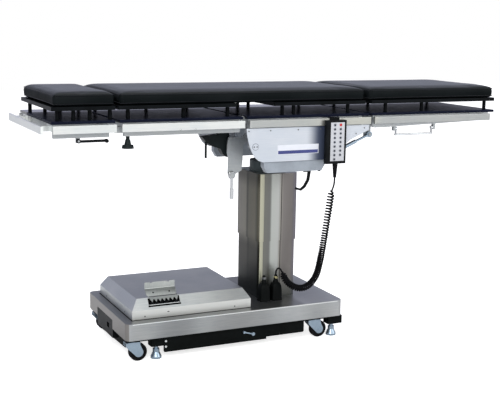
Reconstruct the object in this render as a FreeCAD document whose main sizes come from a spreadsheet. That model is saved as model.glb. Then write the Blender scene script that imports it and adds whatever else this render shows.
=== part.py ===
import FreeCAD, Part
import math
import os
import re
import Sketcher

# Operating table, millimetres. X runs along the table with the head end at -X, Y across it with
# the viewer's side at -Y, Z up. The origin is on the floor, on the axis of the column.

doc = FreeCAD.newDocument("operating_table")

# Driving dimensions: one cell and one alias for each
DIMENSIONS = {
    # base
    "base_left": 699, "base_right": 234, "base_width": 510, "base_bottom": 90, "base_height": 66,
    "base_corner": 22, "shell_wall": 3, "chassis_plate": 6,
    "skirt_left": 546, "skirt_right": 62, "skirt_outer": 241, "skirt_wall": 3, "skirt_drop": 58,
    "skirt_step": 108, "skirt_step_rise": 9, "skirt_corner": 7, "end_skirt_half": 150,
    "end_skirt_skew": 6.5, "foot_plate_drop": 42, "foot_plate": 4, "foot_plate_half": 110,
    "foot_plate_width": 240,
    # telescopic column
    "upper_shroud_length": 178, "upper_shroud_width": 220, "shroud_corner": 18, "shroud_gap": 0.3,
    "upper_shroud_wall": 4.7, "mid_shroud_wall": 3, "lower_shroud_wall": 4,
    "upper_shroud_bottom": 395, "column_top": 660, "mid_shroud_bottom": 150, "mid_shroud_top": 560,
    "lower_shroud_top": 440, "cylinder_radius": 45, "cylinder_top": 480, "rod_radius": 30,
    "rod_bottom": 260, "slide_clearance": 0.05, "cylinder_floor": 10,
    # pump hood on the base
    "hood_left": 662, "hood_right": 166, "hood_half_width": 211, "hood_band": 37,
    "hood_chamfer_rise": 40, "hood_chamfer_inset": 26, "hood_wall": 2.5,
    "recess_left": 592, "recess_right": 464, "recess_depth": 24, "recess_floor_drop": 27,
    "flap_thickness": 2.5, "flap_lower_run": 29, "flap_lower_rise": 27, "flap_upper_rise": 25,
    "flap_hinge_radius": 1.9, "lever_count": 6, "lever_width": 13, "lever_height": 9,
    "tank_left": 60, "tank_length": 230, "tank_near": 120, "tank_far": 150, "tank_headroom": 14,
    "motor_radius": 27, "motor_y": 20, "motor_z": 34, "seat_gap": 0.3,
    # inlet, boots
    "inlet_near": 77, "inlet_far": 127, "inlet_depth": 26, "inlet_rise": 36, "inlet_drop": 38,
    "socket_near": 30, "socket_width": 30, "socket_height": 20, "socket_depth": 12,
    "boot_left_x": 75, "boot_right_x": 21, "boot_y": 141, "boot_half": 23, "boot_rise": 72,
    "stud_radius": 8, "stud_rise": 34,
    # casters and floor-lock feet
    "caster_left": 665, "caster_right": 117, "caster_y": 215, "caster_trail": 22,
    "wheel_radius": 35, "wheel_width": 24, "wheel_bore": 5, "fork_gap": 2, "fork_plate": 3,
    "fork_top": 73, "fork_cap": 3, "swivel_radius": 6, "fork_lobe": 18, "fork_half": 28,
    "foot_left": 568, "foot_right": 204, "foot_radius": 21, "foot_stem": 8, "foot_top": 38,
    "foot_guide_drop": 32, "foot_guide_left": 27, "foot_guide_right": 41, "foot_guide_half": 23,
    "brake_x": 170, "brake_z": 56, "brake_hub": 7, "brake_width": 9, "brake_arm": 5,
    "brake_reach": 39, "brake_rise": 11,
    # saddle: turntable yoke, tilt cross and axles
    "head_plate": 14, "turntable_radius": 74, "turntable_height": 44, "pivot_rise": 130,
    "ear_inner": 46, "ear_outer": 64, "ear_radius": 24, "cross_half": 32, "axle_radius": 13,
    "lug_inner": 62, "lug_outer": 82, "lug_half_width": 33,
    # table top: the deck above the tilt axes, and levels measured from the deck
    "deck_rise": 135, "deck_thickness": 10, "deck_half_width": 252, "post_height": 37,
    "post_radius": 7.5, "post_y": 212, "board_thickness": 14, "board_half_width": 246,
    "pad_thickness": 48, "pad_half_width": 252.5, "pad_edge": 14, "pad_gap": 0.4,
    "top_left": 965, "top_right": 965,
    # splits and hinges along the top
    "head_split": 726, "back_split": 221, "leg_split": 335.5, "rail_half_gap": 10.5,
    "deck_half_gap": 9, "head_pivot_drop": 37, "back_pivot_drop": 9, "leg_pivot_drop": 37,
    "pad_head_split": 725, "pad_leg_split": 322, "fold_left": 250, "fold_right": 95,
    "board_setback": 5, "leg_board_start": 346,
    # frames and rails
    "bar_inner": 228, "bar_outer": 246, "bar_drop": 60, "leg_bar_tip_drop": 43, "cross_drop": 38,
    "cross_bar_half": 12, "link_slope": 22.4, "link_y": 159, "link_barrel": 8, "link_rod_radius": 5,
    "link_barrel_x": 112, "link_barrel_drop": 213, "link_barrel_length": 232, "link_length": 302,
    "link_eye_radius": 12, "link_eye_bore": 6,
    "rail_inner": 265.5, "rail_thickness": 9.5, "rail_drop": 42, "rail_height": 28.6,
    "spacer_length": 26, "end_rail_x": 1000, "end_rail_half": 268, "end_spacer_y": 190,
    "knuckle_parent_inner": 212, "knuckle_child_inner": 196, "knuckle_width": 15.5,
    "knuckle_radius": 12, "back_knuckle_radius": 9, "pin_radius": 5, "pin_clearance": 0.05,
    # side covers over the seat frame
    "cover_outer": 268, "cover_top_drop": 45, "cover_bottom_drop": 177,
    "cover_wall": 3, "trough_drop": 221, "trough_inner": 232, "trough_outer": 262,
    # handset on the rail
    "handset_left": 110, "handset_right": 202, "handset_drop": 192, "handset_top_drop": 20,
    "handset_depth": 24, "handset_clearance": 0.4, "hook_thickness": 3, "hook_half": 22,
    "key_radius": 4.2, "key_rise": 1.6, "relief_top_radius": 11, "relief_low_radius": 6,
    "relief_length": 56, "relief_x": 158,
    # cord
    "cord_radius": 3.5, "curl_radius": 15,
}

sheet = doc.addObject("Spreadsheet::Sheet", "dims")
for row, (alias, number) in enumerate(DIMENSIONS.items(), start=1):
    sheet.set(f"A{row}", alias)
    sheet.set(f"B{row}", str(number))
    sheet.setAlias(f"B{row}", alias)
doc.recompute()

# Sizes that follow from the driving ones
DERIVED = {
    "base_top": "(base_bottom + base_height)",
    "base_half": "(base_width / 2)",
    "plate_bottom": "(base_bottom - chassis_plate)",
    "foot_plate_bottom": "(plate_bottom - foot_plate_drop)",
    "foot_plate_top": "(foot_plate_bottom + foot_plate)",
    "foot_guide_bottom": "(plate_bottom - foot_guide_drop)",
    "skirt_bottom": "(plate_bottom - skirt_drop)",
    "skirt_inner": "(skirt_outer - skirt_wall)",
    "mid_shroud_length": "(upper_shroud_length - 2 * upper_shroud_wall - 2 * shroud_gap)",
    "mid_shroud_width": "(upper_shroud_width - 2 * upper_shroud_wall - 2 * shroud_gap)",
    "lower_shroud_length": "(mid_shroud_length - 2 * mid_shroud_wall - 2 * shroud_gap)",
    "lower_shroud_width": "(mid_shroud_width - 2 * mid_shroud_wall - 2 * shroud_gap)",
    "hood_band_top": "(base_top + hood_band)",
    "hood_top": "(base_top + hood_band + hood_chamfer_rise)",
    "recess_floor": "(hood_top - recess_floor_drop)",
    "pivot_height": "(column_top + pivot_rise)",
    "deck_top": "(pivot_height + deck_rise)",
    "deck_bottom": "(deck_top - deck_thickness)",
    "head_pivot_z": "(deck_top - head_pivot_drop)",
    "back_pivot_z": "(deck_top - back_pivot_drop)",
    "leg_pivot_z": "(deck_top - leg_pivot_drop)",
    "bar_bottom": "(deck_top - bar_drop)",
    "leg_bar_tip": "(deck_top - leg_bar_tip_drop)",
    "cross_bottom": "(deck_top - cross_drop)",
    "rail_bottom": "(deck_top - rail_drop)",
    "link_barrel_z": "(deck_top - link_barrel_drop)",
    "cover_top": "(deck_top - cover_top_drop)",
    "cover_bottom": "(deck_top - cover_bottom_drop)",
    "trough_bottom": "(deck_top - trough_drop)",
    "handset_bottom": "(deck_top - handset_drop)",
    "handset_top": "(deck_top - handset_top_drop)",
    "board_bottom": "(deck_top + post_height)",
    "board_top": "(deck_top + post_height + board_thickness)",
    "pad_top": "(board_top + pad_thickness)",
    "rail_top": "(rail_bottom + rail_height)",
    "rail_outer": "(rail_inner + rail_thickness)",
    "handset_back": "(rail_outer + handset_clearance)",
    "handset_face": "(rail_outer + handset_clearance + handset_depth)",
    "handset_middle": "((handset_left + handset_right) / 2)",
}


def expand(text):
    """Write derived sizes out until only names of cells are left."""
    words = "|".join(sorted(DERIVED, key=len, reverse=True))
    pattern = re.compile(rf"\b({words})\b")
    while pattern.search(text):
        text = pattern.sub(lambda found: DERIVED[found.group(1)], text)
    return text


def bind(text):
    """Expression over the sheet, as FreeCAD wants it."""
    words = "|".join(sorted(DIMENSIONS, key=len, reverse=True))
    return re.sub(rf"\b({words})\b", r"dims.\1", expand(str(text)))


def size(text):
    """Value of an expression over the sheet."""
    answer = sheet.evalExpression(bind(text))
    return float(getattr(answer, "Value", answer))


def place(piece, x, y, z, turn=None):
    if turn is not None:
        piece.Placement = FreeCAD.Placement(FreeCAD.Vector(), turn)
    piece.setExpression("Placement.Base.x", bind(x))
    piece.setExpression("Placement.Base.y", bind(y))
    piece.setExpression("Placement.Base.z", bind(z))
    return piece


def box(x, y, z, name="block"):
    """Block between pairs of expressions."""
    piece = doc.addObject("Part::Box", name)
    piece.setExpression("Length", bind(f"({x[1]}) - ({x[0]})"))
    piece.setExpression("Width", bind(f"({y[1]}) - ({y[0]})"))
    piece.setExpression("Height", bind(f"({z[1]}) - ({z[0]})"))
    return place(piece, x[0], y[0], z[0])


TURNS = {
    "X": FreeCAD.Rotation(FreeCAD.Vector(0, 1, 0), 90),
    "Y": FreeCAD.Rotation(FreeCAD.Vector(1, 0, 0), -90),
    "Z": FreeCAD.Rotation(),
}


def cylinder(axis, radius, start, end, first, second, name="round"):
    """Cylinder along an axis, from start to end; first and second are its other two places."""
    piece = doc.addObject("Part::Cylinder", name)
    piece.setExpression("Radius", bind(radius))
    piece.setExpression("Height", bind(f"({end}) - ({start})"))
    spots = {"X": (start, first, second), "Y": (first, start, second), "Z": (first, second, start)}
    return place(piece, *spots[axis], turn=TURNS[axis])


def cone(low_radius, top_radius, x, y, z, name="taper"):
    piece = doc.addObject("Part::Cone", name)
    piece.setExpression("Radius1", bind(low_radius))
    piece.setExpression("Radius2", bind(top_radius))
    piece.setExpression("Height", bind(f"({z[1]}) - ({z[0]})"))
    return place(piece, x, y, z[0])


def fuse(pieces, name="joined"):
    joined = doc.addObject("Part::MultiFuse", name)
    joined.Shapes = pieces
    joined.Refine = True
    return joined


def cut(base, tools, name="cut"):
    tool = tools[0] if len(tools) == 1 else fuse(tools, name + "_tools")
    piece = doc.addObject("Part::Cut", name)
    piece.Base = base
    piece.Tool = tool
    piece.Refine = True
    return piece


def group(pieces, name="group"):
    bundle = doc.addObject("Part::Compound", name)
    bundle.Links = pieces
    return bundle


def edges_along(shape, axis, keep=lambda middle: True):
    """Numbers of the straight edges that run along an axis."""
    direction = {"X": FreeCAD.Vector(1, 0, 0), "Y": FreeCAD.Vector(0, 1, 0), "Z": FreeCAD.Vector(0, 0, 1)}[axis]
    found = []
    for number, edge in enumerate(shape.Edges, start=1):
        if edge.Curve.TypeId != "Part::GeomLine":
            continue
        if abs(edge.Curve.Direction.dot(direction)) > 0.999 and keep(edge.CenterOfMass):
            found.append(number)
    return found


def round_edges(base, axis, radius, keep=lambda middle: True, name="rounded"):
    """Fillet on the edges of a solid that run along an axis."""
    doc.recompute()
    piece = doc.addObject("Part::Fillet", name)
    piece.Base = base
    amount = size(radius)
    piece.Edges = [(number, amount, amount) for number in edges_along(base.Shape, axis, keep)]
    return piece


def origin_plane(body, role):
    return [feature for feature in body.Origin.OriginFeatures if feature.Role == role][0]


def outline_body(name, plane, outline, start, depth):
    """Body whose outline, a list of expression pairs, is padded from start by depth.

    On the XZ plane the pad runs towards -Y, so start is a distance on the near side."""
    body = doc.addObject("PartDesign::Body", name)
    sketch = body.newObject("Sketcher::SketchObject", name + "_outline")
    sketch.AttachmentSupport = [(origin_plane(body, plane), "")]
    sketch.MapMode = "FlatFace"
    sketch.setExpression("AttachmentOffset.Base.z", bind(start))
    corners = [FreeCAD.Vector(size(u), size(v), 0) for u, v in outline]
    count = len(corners)
    for index in range(count):
        sketch.addGeometry(Part.LineSegment(corners[index], corners[(index + 1) % count]), False)
    for index in range(count):
        sketch.addConstraint(Sketcher.Constraint("Coincident", index, 2, (index + 1) % count, 1))
    for index, (u, v) in enumerate(outline):
        for kind, text, number in (("DistanceX", u, corners[index].x), ("DistanceY", v, corners[index].y)):
            where = sketch.addConstraint(Sketcher.Constraint(kind, -1, 1, index, 1, number))
            sketch.setExpression(f"Constraints[{where}]", bind(text))
    pad = body.newObject("PartDesign::Pad", name + "_pad")
    pad.Profile = sketch
    pad.setExpression("Length", bind(depth))
    body.Tip = pad
    doc.recompute()
    return body


def fillet_body(body, axis, radius, keep=lambda middle: True):
    """Fillet feature at the end of a body."""
    base = body.Tip
    numbers = edges_along(base.Shape, axis, keep)
    feature = body.newObject("PartDesign::Fillet", body.Name + "_fillet")
    feature.Base = (base, [f"Edge{number}" for number in numbers])
    feature.setExpression("Radius", bind(radius))
    body.Tip = feature
    doc.recompute()
    return body


def mirrored(piece, name="far_side"):
    """The same piece on the far side of the table."""
    copy = doc.addObject("Part::Mirroring", name)
    copy.Source = piece
    copy.Normal = (0, 1, 0)
    return copy


def both_sides(piece, name="pair"):
    return [piece, mirrored(piece, name + "_far")]


NODES = {}


def node(name, piece):
    """Name a finished sub-part; its label is the name of its file."""
    piece.Label = name
    NODES[name] = piece
    return piece


def turned_box(half_length, half_width, z, corner, name):
    """Upright block on the column's axis with round corners."""
    block = box((f"-({half_length})", half_length), (f"-({half_width})", half_width), z, name)
    return round_edges(block, "Z", corner, name=name + "_rounded")


# Base: stainless shell, chassis, pump hood

def make_base():
    outer = box(("-base_left", "base_right"), ("-base_half", "base_half"), ("base_bottom", "base_top"))
    outer = round_edges(outer, "Z", "base_corner")
    hollow = box(("-base_left + shell_wall", "base_right - shell_wall"),
                 ("-base_half + shell_wall", "base_half - shell_wall"),
                 ("base_bottom - 1", "base_top - shell_wall"))
    hollow = round_edges(hollow, "Z", "base_corner - shell_wall")
    well = turned_box("mid_shroud_length / 2 + shroud_gap", "mid_shroud_width / 2 + shroud_gap",
                      ("base_bottom", "base_top + 1"), "shroud_corner - upper_shroud_wall", "well")
    notch = box(("-base_left - 1", "-base_left + inlet_depth + seat_gap"),
                ("-inlet_near - seat_gap", "inlet_far + seat_gap"),
                ("plate_bottom - 1", "base_bottom + inlet_rise + seat_gap"))
    node("base_shell", cut(outer, [hollow, well, notch]))

    plate = box(("-base_left + 4", "base_right - 4"), ("-base_half + 4", "base_half - 4"),
                ("plate_bottom", "base_bottom"))
    plate = round_edges(plate, "Z", "base_corner - 4")
    holes = [turned_box("mid_shroud_length / 2 + 2", "mid_shroud_width / 2 + 2",
                        ("plate_bottom - 1", "base_bottom + 1"), "shroud_corner - upper_shroud_wall", "pit"),
             notch]
    for x in ("-caster_left", "caster_right"):
        for side in ("-caster_y", "caster_y"):
            holes.append(cylinder("Z", "swivel_radius + slide_clearance", "plate_bottom - 1",
                                  "base_bottom + 1", x, side))
    guides = []
    for x in ("-foot_left", "foot_right"):
        for side in ("-caster_y", "caster_y"):
            hole = cylinder("Z", "foot_stem + slide_clearance", "foot_guide_bottom - 1",
                            "base_bottom + 1", x, side)
            holes.append(hole)
            guide = box((f"{x} - foot_guide_left", f"{x} + foot_guide_right"),
                        (f"{side} - foot_guide_half", f"{side} + foot_guide_half"),
                        ("foot_guide_bottom", "plate_bottom"))
            guides.append(cut(round_edges(guide, "Z", "skirt_corner"), [hole]))
    half = "(foot_plate_width / 2)"
    foot_plate = box(("-foot_plate_half", "foot_plate_half"), (f"-{half}", half),
                     ("foot_plate_bottom", "foot_plate_top"))
    side_walls = [box((x, f"{x} + chassis_plate"), (f"-{half}", half), ("foot_plate_top", "plate_bottom"))
                  for x in ("-foot_plate_half", "foot_plate_half - chassis_plate")]
    node("under_chassis", group([cut(plate, holes), foot_plate] + side_walls + guides + make_skirts()))

    inlet = box(("-base_left + 1", "-base_left + inlet_depth"), ("-inlet_near", "inlet_far"),
                ("base_bottom - inlet_drop", "base_bottom + inlet_rise"))
    socket = box(("-base_left - 1", "-base_left + socket_depth"),
                 ("-socket_near", "-socket_near + socket_width"),
                 ("base_bottom - socket_height / 2", "base_bottom + socket_height / 2"))
    inlet = cut(inlet, [socket])
    node("power_inlet", inlet)


def make_skirts():
    """Black panels that hang below the base, one along each side and one across its left end."""
    side = outline_body("side_skirt", "XZ_Plane",
                        [("-skirt_left", "plate_bottom"), ("-skirt_left", "skirt_bottom"),
                         ("-skirt_step", "skirt_bottom"), ("-skirt_step", "skirt_bottom + skirt_step_rise"),
                         ("skirt_right", "skirt_bottom + skirt_step_rise"), ("skirt_right", "plate_bottom")],
                        "skirt_inner", "skirt_wall")
    side = fillet_body(side, "Y", "skirt_corner",
                       keep=lambda middle: middle.z < size("skirt_bottom + skirt_step_rise + 1")
                       and abs(middle.x + size("skirt_step")) > 1)
    end = outline_body("end_skirt", "YZ_Plane",
                       [("-end_skirt_half", "plate_bottom"),
                        ("-end_skirt_half", "skirt_bottom + end_skirt_skew"),
                        ("end_skirt_half", "skirt_bottom - end_skirt_skew"),
                        ("end_skirt_half", "plate_bottom")],
                       "-base_left + inlet_depth + 2", "skirt_wall")
    return both_sides(side) + [end]


def make_hood():
    half = "hood_half_width"
    band = box(("-hood_left", "-hood_right"), (f"-{half}", half), ("base_top", "hood_band_top"))
    crown = doc.addObject("Part::Wedge", "crown")
    for prop, text in (("Xmin", "-hood_left"), ("Xmax", "-hood_right"),
                       ("X2min", "-hood_left + hood_chamfer_inset"),
                       ("X2max", "-hood_right - hood_chamfer_inset"),
                       ("Zmin", f"-{half}"), ("Zmax", half),
                       ("Z2min", f"-{half} + hood_chamfer_inset"), ("Z2max", f"{half} - hood_chamfer_inset"),
                       ("Ymin", "0"), ("Ymax", "hood_chamfer_rise")):
        crown.setExpression(prop, bind(text))
    place(crown, "0", "0", "hood_band_top", FreeCAD.Rotation(FreeCAD.Vector(1, 0, 0), 90))
    outside = fuse([band, crown])
    wall = "hood_wall"
    inner_band = box((f"-hood_left + {wall}", f"-hood_right - {wall}"),
                     (f"-{half} + {wall}", f"{half} - {wall}"), ("base_top - 1", "hood_band_top"))
    room = box(("-hood_left + hood_chamfer_inset", "-hood_right - hood_chamfer_inset"),
               (f"-{half} + hood_chamfer_inset + recess_depth", f"{half} - hood_chamfer_inset"),
               ("base_top - 1", f"hood_top - {wall}"))
    recess = box(("-recess_left", "-recess_right"), (f"-{half} - 5", f"-{half} + recess_depth"),
                 ("recess_floor", "hood_top + 5"))
    shell = cut(outside, [inner_band, room])
    node("pump_hood", cut(shell, [recess]))

    hinge_y = f"(-{half} + hood_chamfer_inset + 1)"
    low = "(hood_top + seat_gap)"
    thick = "flap_thickness"
    crease = f"{low} + flap_lower_rise"
    foot = f"{low} + flap_hinge_radius - 0.7"
    outline = [(f"{hinge_y} + 0.5", foot),
               (f"{hinge_y} + flap_lower_run", crease),
               (f"{hinge_y} + flap_lower_run", f"{crease} + flap_upper_rise"),
               (f"{hinge_y} + flap_lower_run + {thick}", f"{crease} + flap_upper_rise"),
               (f"{hinge_y} + flap_lower_run + {thick}", f"{crease} - 1"),
               (f"{hinge_y} + {thick} + 1", foot)]
    flap = outline_body("flap_plate", "YZ_Plane", outline, "-recess_left - 2", "recess_left - recess_right + 6")
    rod = cylinder("X", "flap_hinge_radius", "-recess_left + 6", "-recess_right - 6", f"{hinge_y} + 2",
                   f"{low} + flap_hinge_radius")
    node("hood_flap", fuse([flap, rod]))

    pitch = "((recess_left - recess_right - 12) / lever_count)"
    levers = []
    for number in range(int(size("lever_count"))):
        left = f"(-recess_left + 6 + {number} * {pitch} + {pitch} / 2 - lever_width / 2)"
        levers.append(box((left, f"{left} + lever_width"),
        (f"-{half} + 8", f"-{half} + recess_depth - seat_gap"),
                          ("recess_floor + seat_gap", "recess_floor + seat_gap + lever_height")))
    node("override_levers", group(levers))


def make_pump():
    tank = box(("-hood_left + tank_left", "-hood_left + tank_left + tank_length"), ("-tank_near", "tank_far"),
               ("base_top", "hood_top - tank_headroom"))
    tank = round_edges(tank, "Z", "16")
    motor = cylinder("X", "motor_radius", "-hood_left + tank_left + tank_length", "-hood_right - 40", "motor_y",
                     "base_top + motor_z")
    foot = box(("-hood_left + tank_left + tank_length + 30", "-hood_right - 60"),
    ("motor_y - 15", "motor_y + 15"),
               ("base_top", "base_top + motor_z / 2"))
    node("pump_unit", fuse([tank, motor, foot]))


def make_boots():
    boots = []
    for x in ("-boot_left_x", "-boot_right_x"):
        block = box((f"{x} - boot_half", f"{x} + boot_half"), ("-boot_y - boot_half", "-boot_y + boot_half"),
                    ("base_top", "base_top + boot_rise"))
        block = round_edges(block, "Z", "8")
        stud = cylinder("Z", "stud_radius", "base_top + boot_rise", "base_top + boot_rise + stud_rise", x, "-boot_y")
        boots.append(fuse([block, stud]))
    node("connector_boots", group(boots))


# Casters, floor-lock feet and brake lever

def make_casters():
    for end, x in (("left", "-caster_left"), ("right", "caster_right")):
        for side, y in (("near", "-caster_y"), ("far", "caster_y")):
            hub = f"({x} + caster_trail)"
            inner = "(wheel_width / 2 + fork_gap)"
            outer = f"({inner} + fork_plate)"
            cap = box((f"{x} - fork_half", f"{x} + fork_half"), (f"{y} - {outer}", f"{y} + {outer}"),
                      ("fork_top", "fork_top + fork_cap"))
            cheeks = []
            for low, high in ((f"{y} - {outer}", f"{y} - {inner}"), (f"{y} + {inner}", f"{y} + {outer}")):
                cheek = outline_body(f"cheek_{end}_{side}", "XZ_Plane",
                                     [(f"{x} - fork_half", "fork_top + 0.5"),
                                     (f"{x} - fork_half", "fork_top - 12"),
                                      (f"{hub} - 0.62 * fork_lobe", "wheel_radius - 0.78 * fork_lobe"),
                                      (f"{hub} + 0.5 * fork_lobe", "wheel_radius - 0.5 * fork_lobe"),
                                      (f"{hub} + 0.8 * fork_lobe", "wheel_radius + 0.6 * fork_lobe"),
                                      (f"{x} + fork_half", "fork_top - 8"),
                                      (f"{x} + fork_half", "fork_top + 0.5")],
                                     f"-({high})", "fork_plate")
                lobe = cylinder("Y", "fork_lobe", low, high, hub, "wheel_radius")
                cheeks += [cheek, lobe]
            stem = cylinder("Z", "swivel_radius", "fork_top + fork_cap - 0.5", "base_bottom + 6", x, y)
            collar = cylinder("Z", "3 * swivel_radius", "fork_top + fork_cap - 0.5", "plate_bottom - seat_gap", x, y)
            pin = cylinder("Y", "wheel_bore - pin_clearance", f"{y} - {outer} - 1.5", f"{y} + {outer} + 1.5",
                           hub, "wheel_radius")
            node(f"caster_fork_{end}_{side}", fuse([cap, stem, collar, pin] + cheeks))
            disc = cylinder("Y", "wheel_radius", f"{y} - wheel_width / 2", f"{y} + wheel_width / 2",
                            hub, "wheel_radius")
            disc = round_disc(disc, "3")
            bore = cylinder("Y", "wheel_bore", f"{y} - wheel_width", f"{y} + wheel_width", hub, "wheel_radius")
            groove_near = cylinder("Y", "wheel_radius - 9", f"{y} - wheel_width", f"{y} - wheel_width / 2 + 2.5",
                                   hub, "wheel_radius")
            hub_near = cylinder("Y", "9", f"{y} - wheel_width", f"{y} - wheel_width / 2 + 2.5", hub, "wheel_radius")
            dish = cut(groove_near, [hub_near])
            node(f"caster_wheel_{end}_{side}", cut(disc, [bore, dish]))


def round_disc(disc, radius):
    """Round both rims of a wheel."""
    doc.recompute()
    piece = doc.addObject("Part::Fillet", "tread")
    piece.Base = disc
    amount = size(radius)
    rims = [number for number, edge in enumerate(disc.Shape.Edges, start=1)
            if edge.Curve.TypeId == "Part::GeomCircle"]
    piece.Edges = [(number, amount, amount) for number in rims]
    return piece


def make_feet():
    feet = []
    for x in ("-foot_left", "foot_right"):
        for y in ("-caster_y", "caster_y"):
            pad = cylinder("Z", "foot_radius", "0", "8", x, y)
            bell = cone("foot_radius", "foot_stem + 5", x, y, ("8", "25"))
            neck = cylinder("Z", "foot_stem + 5", "25", "foot_top", x, y)
            stem = cylinder("Z", "foot_stem", "foot_top", "base_bottom - 4", x, y)
            feet.append(fuse([pad, bell, neck, stem]))
    node("floor_lock_feet", group(feet))

    pivot_x = "(-brake_x)"
    near = "(-skirt_outer - seat_gap)"
    hub = cylinder("Y", "brake_hub", f"{near} - brake_width", near, pivot_x, "brake_z")
    end_x, end_z = f"({pivot_x} - brake_reach)", "(brake_z + brake_rise)"
    arm = outline_body("brake_arm_plate", "XZ_Plane",
                       [(pivot_x, "brake_z - brake_arm / 2"), (pivot_x, "brake_z + brake_arm / 2"),
                        (end_x, f"{end_z} + brake_arm / 2"), (end_x, f"{end_z} - brake_arm / 2")],
                       f"-({near}) + 2", "brake_arm")
    tip = cylinder("Y", "brake_arm", f"{near} - brake_width", near, end_x, end_z)
    node("brake_lever", fuse([hub, arm, tip]))


# Telescopic column with the lift cylinder inside

def sleeve(length, width, wall, z, corner, name):
    outer = turned_box(f"({length}) / 2", f"({width}) / 2", z, corner, name + "_outside")
    inner = turned_box(f"({length}) / 2 - {wall}", f"({width}) / 2 - {wall}",
                       (f"{z[0]} - 1", f"{z[1]} + 1"), f"{corner} - {wall}", name + "_inside")
    return node(name, cut(outer, [inner]))


def make_column():
    corner = "shroud_corner"
    sleeve("upper_shroud_length", "upper_shroud_width", "upper_shroud_wall",
           ("upper_shroud_bottom", "column_top"), corner, "upper_shroud")
    corner = f"({corner} - upper_shroud_wall - shroud_gap)"
    sleeve("mid_shroud_length", "mid_shroud_width", "mid_shroud_wall",
           ("mid_shroud_bottom", "mid_shroud_top"), corner, "mid_shroud")
    corner = f"({corner} - mid_shroud_wall - shroud_gap)"
    sleeve("lower_shroud_length", "lower_shroud_width", "lower_shroud_wall",
           ("foot_plate_top", "lower_shroud_top"), corner, "lower_shroud")
    barrel = cylinder("Z", "cylinder_radius", "foot_plate_top", "cylinder_top", "0", "0")
    bore = cylinder("Z", "rod_radius + slide_clearance", "foot_plate_top + cylinder_floor",
                    "cylinder_top + 1", "0", "0")
    node("lift_cylinder", cut(barrel, [bore]))
    node("lift_rod", cylinder("Z", "rod_radius", "rod_bottom", "column_top", "0", "0"))


# Saddle: head plate, turntable yoke, tilt cross

def make_saddle():
    plate_top = "(column_top + head_plate)"
    node("column_head", turned_box("upper_shroud_length / 2", "upper_shroud_width / 2",
                                   ("column_top", plate_top), "shroud_corner", "cap_plate"))
    base = f"({plate_top} + 0.3)"
    disc_top = f"({base} + turntable_height)"
    disc = cylinder("Z", "turntable_radius", base, disc_top, "0", "0")
    ears = []
    for y in (("-ear_outer", "-ear_inner"), ("ear_inner", "ear_outer")):
        ears.append(box(("-ear_radius", "ear_radius"), y, (f"{disc_top} - 1", "pivot_height")))
        ears.append(cylinder("Y", "ear_radius", y[0], y[1], "0", "pivot_height"))
    yoke = fuse([disc] + ears)
    bore = cylinder("Y", "axle_radius + pin_clearance", "-ear_outer - 1", "ear_outer + 1", "0", "pivot_height")
    node("turntable_yoke", cut(yoke, [bore]))
    block = box(("-cross_half", "cross_half"), ("-cross_half", "cross_half"),
                ("pivot_height - cross_half / 1.4", "pivot_height + cross_half / 1.4"))
    cross_pin = cylinder("Y", "axle_radius", "-ear_outer - 4", "ear_outer + 4", "0", "pivot_height")
    long_pin = cylinder("X", "axle_radius", "-lug_outer - 4", "lug_outer + 4", "0", "pivot_height")
    node("tilt_cross", fuse([block, cross_pin, long_pin]))


# Table top: four sections of frame, rails, deck, posts and board

SECTIONS = {
    "head": {"deck": ("-top_left - 2", "-head_split - deck_half_gap"),
             "rail": ("-top_left - 2", "-head_split - rail_half_gap"),
             "bar": ("-top_left + 5", "-head_split - 30"),
             "board": ("-top_left", "-head_split - board_setback"),
             "cross": ("-top_left + 30", "-head_split - 55"),
             "posts": ("-937", "-878", "-818", "-743")},
    "back": {"deck": ("-head_split + deck_half_gap", "-back_split - deck_half_gap"),
             "rail": ("-head_split + rail_half_gap", "-back_split - rail_half_gap"),
             "bar": ("-head_split + 26", "-back_split - 19"),
             "board": ("-head_split + board_setback", "-fold_left"),
             "cross": ("-head_split + 46", "-470", "-back_split - 30"),
             "posts": ("-675", "-458", "-278")},
    "seat": {"deck": ("-back_split + deck_half_gap", "leg_split - 8"),
             "rail": ("-back_split + rail_half_gap", "leg_split - rail_half_gap + 1"),
             "bar": ("-back_split + 16", "leg_split - 36"),
             "board": ("-fold_right", "leg_split - 17.5"),
             "cross": ("-back_split + 60", "-(lug_inner + lug_outer) / 2", "(lug_inner + lug_outer) / 2",
                       "leg_split - 60"),
             "posts": ("-44", "6", "252")},
    "leg": {"deck": ("leg_split + deck_half_gap", "top_right - 10"),
            "rail": ("leg_split + rail_half_gap - 1", "919"),
            "bar": ("leg_split + 15", "top_right - 35"),
            "board": ("leg_board_start", "top_right - 2"),
            "cross": ("leg_split + 42", "640", "top_right - 60"),
            "posts": ("431", "609", "933")},
}
SPACERS = {"head": ("-905", "-790"), "back": ("-660", "-452", "-270"), "seat": ("-165", "75", "270"),
           "leg": ("400", "640", "880")}


def knuckle(lane, x, arm_end, pivot_z, radius):
    """Hinge arm at the near side: an eye on the pivot and a bar that reaches back to its frame."""
    eye = cylinder("Y", radius, lane[0], lane[1], x, pivot_z)
    ends = sorted([x, arm_end], key=size)
    top = min([f"{pivot_z} + {radius} - 0.5", "deck_bottom"], key=size)
    bar = box(ends, lane, (f"{pivot_z} - {radius}", top))
    return fuse([eye, bar])


def bored(piece, x, pivot_z, clearance):
    hole = cylinder("Y", f"pin_radius + {clearance}", "-bar_outer", "-knuckle_child_inner + 5", x, pivot_z)
    return cut(piece, [hole])


def hinge_pin(x, pivot_z):
    """Pin in the parent's knuckle, through both eyes, with a head inside."""
    shaft = cylinder("Y", "pin_radius", "-bar_inner", "-knuckle_child_inner + 1.5", x, pivot_z)
    head = cylinder("Y", "pin_radius + 3", "-knuckle_child_inner + seat_gap", "-knuckle_child_inner + 3.5",
                    x, pivot_z)
    return fuse([shaft, head])


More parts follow.
